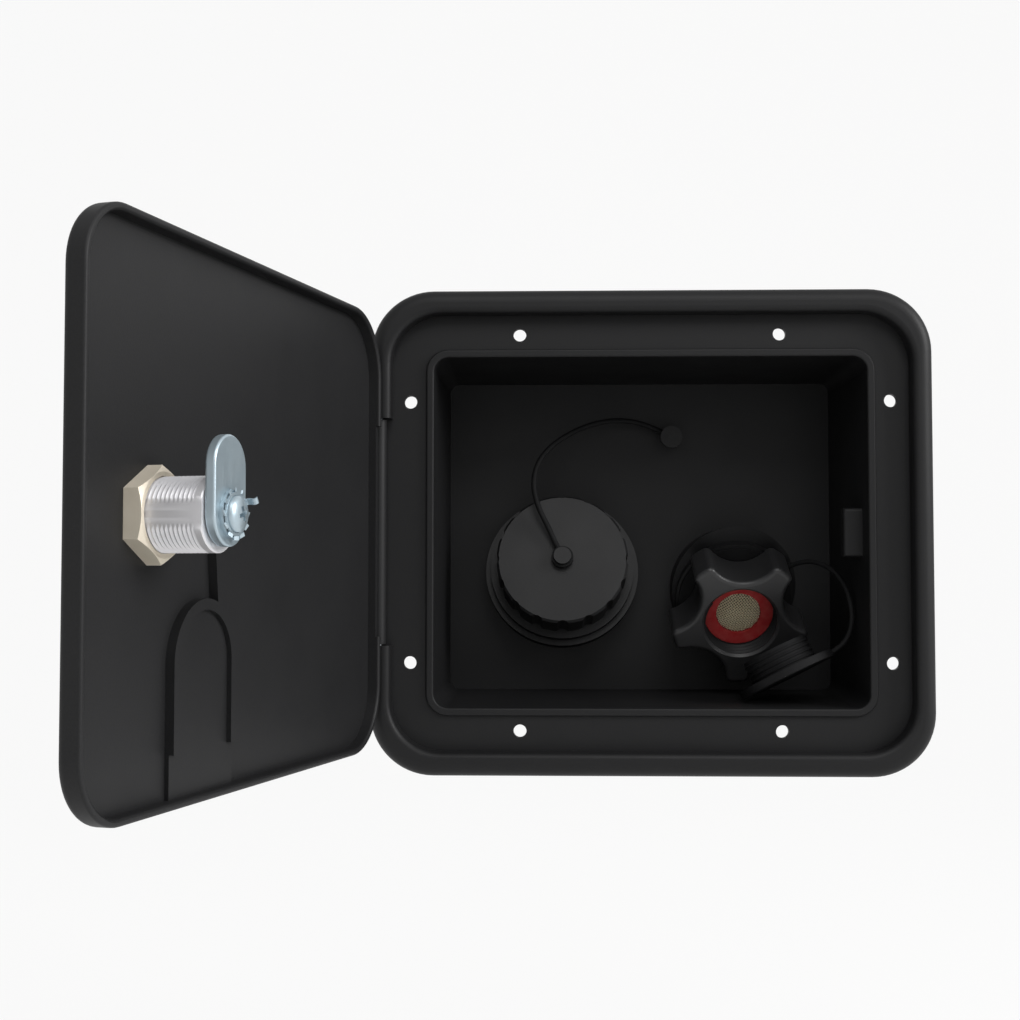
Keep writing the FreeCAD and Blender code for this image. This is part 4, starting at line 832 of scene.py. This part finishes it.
def strainer_tree():
    """A woven dome about Z, with its rim at the origin's height."""
    tree, given = new_tree("woven_dome", ("Radius", "Rise", "Pitch", "Wire radius"))
    share = add_node(tree, "ShaderNodeMath", {"operation": "DIVIDE"}, _0=given["Radius"],
                     _1=given["Pitch"])
    rows = add_node(tree, "ShaderNodeMath", {"operation": "FLOOR"}, _0=share)
    count = add_node(tree, "ShaderNodeMath", {"operation": "MULTIPLY_ADD"}, _0=rows, _1=2.0, _2=1.0)
    reach = add_node(tree, "ShaderNodeMath", {"operation": "MULTIPLY"}, _0=rows, _1=given["Pitch"])
    first = add_node(tree, "ShaderNodeMath", {"operation": "MULTIPLY"}, _0=reach, _1=-1.0)
    left = add_node(tree, "ShaderNodeMath", {"operation": "MULTIPLY"}, _0=given["Radius"], _1=-1.0)
    start = add_node(tree, "ShaderNodeCombineXYZ", X=left)
    end = add_node(tree, "ShaderNodeCombineXYZ", X=given["Radius"])
    line = add_node(tree, "GeometryNodeCurvePrimitiveLine", Start=start, End=end)
    fine = add_node(tree, "GeometryNodeResampleCurve", Curve=line, Count=WIRE_POINTS)
    corner = add_node(tree, "ShaderNodeCombineXYZ", Y=first)
    step = add_node(tree, "ShaderNodeCombineXYZ", Y=given["Pitch"])
    rack = add_node(tree, "GeometryNodeMeshLine", Count=count, Start_Location=corner, Offset=step)
    wires = add_node(tree, "GeometryNodeInstanceOnPoints", Points=rack, Instance=fine)
    warp = add_node(tree, "GeometryNodeRealizeInstances", Geometry=wires)
    weft = add_node(tree, "GeometryNodeTransform", Geometry=warp, Rotation=QUARTER_TURN)
    place = add_node(tree, "GeometryNodeInputPosition")
    parts = add_node(tree, "ShaderNodeSeparateXYZ", Vector=place).outputs
    turn = add_node(tree, "ShaderNodeMath", {"operation": "DIVIDE"}, _0=math.pi, _1=given["Pitch"])
    waves = []
    for letter in "XY":
        phase = add_node(tree, "ShaderNodeMath", {"operation": "MULTIPLY"}, _0=parts[letter], _1=turn)
        waves.append(add_node(tree, "ShaderNodeMath", {"operation": "COSINE"}, _0=phase))
    weave = add_node(tree, "ShaderNodeMath", {"operation": "MULTIPLY"}, _0=waves[0], _1=waves[1])
    flat = add_node(tree, "ShaderNodeCombineXYZ", X=parts["X"], Y=parts["Y"])
    distance = add_node(tree, "ShaderNodeVectorMath", {"operation": "LENGTH"}, _0=flat).outputs["Value"]
    part = add_node(tree, "ShaderNodeMath", {"operation": "DIVIDE"}, _0=distance, _1=given["Radius"])
    square = add_node(tree, "ShaderNodeMath", {"operation": "MULTIPLY"}, _0=part, _1=part)
    fall = add_node(tree, "ShaderNodeMath", {"operation": "SUBTRACT"}, _0=1.0, _1=square)
    dome_height = add_node(tree, "ShaderNodeMath", {"operation": "MULTIPLY"}, _0=fall, _1=given["Rise"])
    outside = add_node(tree, "FunctionNodeCompare", {"operation": "GREATER_THAN"}, _0=distance,
                       _1=given["Radius"])
    gather = add_node(tree, "GeometryNodeJoinGeometry")
    for lines, side in ((warp, 1.0), (weft, -1.0)):
        swing = add_node(tree, "ShaderNodeMath", {"operation": "MULTIPLY"}, _0=given["Wire radius"],
                         _1=side)
        lift = add_node(tree, "ShaderNodeMath", {"operation": "MULTIPLY_ADD"}, _0=weave, _1=swing,
                        _2=dome_height)
        raised = add_node(tree, "ShaderNodeCombineXYZ", X=parts["X"], Y=parts["Y"], Z=lift)
        kept = add_node(tree, "GeometryNodeDeleteGeometry", Geometry=lines, Selection=outside)
        bent = add_node(tree, "GeometryNodeSetPosition", Geometry=kept, Position=raised)
        tree.links.new(bent.outputs[0], gather.inputs[0])
    section = add_node(tree, "GeometryNodeCurvePrimitiveCircle", Resolution=WIRE_SIDES,
                       Radius=given["Wire radius"])
    tubes = add_node(tree, "GeometryNodeCurveToMesh", Curve=gather, Profile_Curve=section,
                     Fill_Caps=True)
    return end_tree(tree, tubes, given["Material"])


STRAINER_TREE = strainer_tree()
print("strainer tree", len(STRAINER_TREE.nodes), "nodes")

# %% [markdown]
# The dome's rim is tucked into the washer, and its weave lies askew to the swivel, as a cut piece of
# mesh may. The weave of such a strainer is often finer than this, so it is drawn a little coarser here
# for the wires to show.

# %% Strainer
STRAINER_RADIUS = 8.1 * MM
STRAINER_RISE = 2.4 * MM
WIRE_PITCH = 0.8 * MM
WIRE_RADIUS = 0.21 * MM
WEAVE_TURN = math.radians(38)

screen_high = span_on_axis("inlet_screen", SWIVEL_FRAME)[1]
strainer_foot = SWIVEL_FRAME @ Matrix.Translation((0, 0, screen_high - STRAINER_RISE))
strainer = grown("strainer_mesh", STRAINER_TREE, {
    "Radius": STRAINER_RADIUS, "Rise": STRAINER_RISE, "Pitch": WIRE_PITCH, "Wire radius": WIRE_RADIUS,
    "Material": STRAINER_WIRE}, strainer_foot @ Matrix.Rotation(WEAVE_TURN, 4, "Z"))
finish_piece(strainer, "swivel")
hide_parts("inlet_screen")

# %% [markdown]
# Hose and pipe threads use the same tree as the lock, with other sizes. The swivel's mouth has a
# coarse hose thread inside, and the tail behind the wall a finer pipe thread outside. Neither has
# flats, so their half width is set so large that it holds nothing back.

# %% Hose and pipe threads
NO_FLAT = 1.0
MOUTH_RADIUS = 13.4 * MM
MOUTH_PITCH = 2.2 * MM
MOUTH_TURNS = 2.6
MOUTH_DEPTH = 0.7 * MM
TAIL_RADIUS = 10.4 * MM
TAIL_PITCH = 1.8 * MM
TAIL_DEPTH = 0.6 * MM
TAIL_LENGTH = 15.0 * MM
TAIL_MARGIN = 1.0 * MM

washer_high = span_on_axis("inlet_washer", SWIVEL_FRAME)[1]
# Painted shade: the hose thread takes the housing's darker plastic, not the swivel's, for the shadow in
# the mouth.
mouth_thread = grown("hose_thread", THREAD_TREE, {
    "Radius": MOUTH_RADIUS, "Pitch": MOUTH_PITCH, "Turns": MOUTH_TURNS, "Depth": MOUTH_DEPTH,
    "Half width": NO_FLAT, "Material": HOUSING_ABS},
    SWIVEL_FRAME @ Matrix.Translation((0, 0, washer_high + MOUTH_DEPTH)))
finish_piece(mouth_thread, "swivel")
body_low = span_on_axis("inlet_body", SWIVEL_FRAME)[0]
tail_turns = math.floor((TAIL_LENGTH - 2 * TAIL_MARGIN) / TAIL_PITCH)
tail_thread = grown("pipe_thread", THREAD_TREE, {
    "Radius": TAIL_RADIUS, "Pitch": TAIL_PITCH, "Turns": float(tail_turns), "Depth": TAIL_DEPTH,
    "Half width": NO_FLAT, "Material": FITTING_ABS},
    SWIVEL_FRAME @ Matrix.Translation((0, 0, body_low + TAIL_MARGIN)))
finish_piece(tail_thread, "housing")
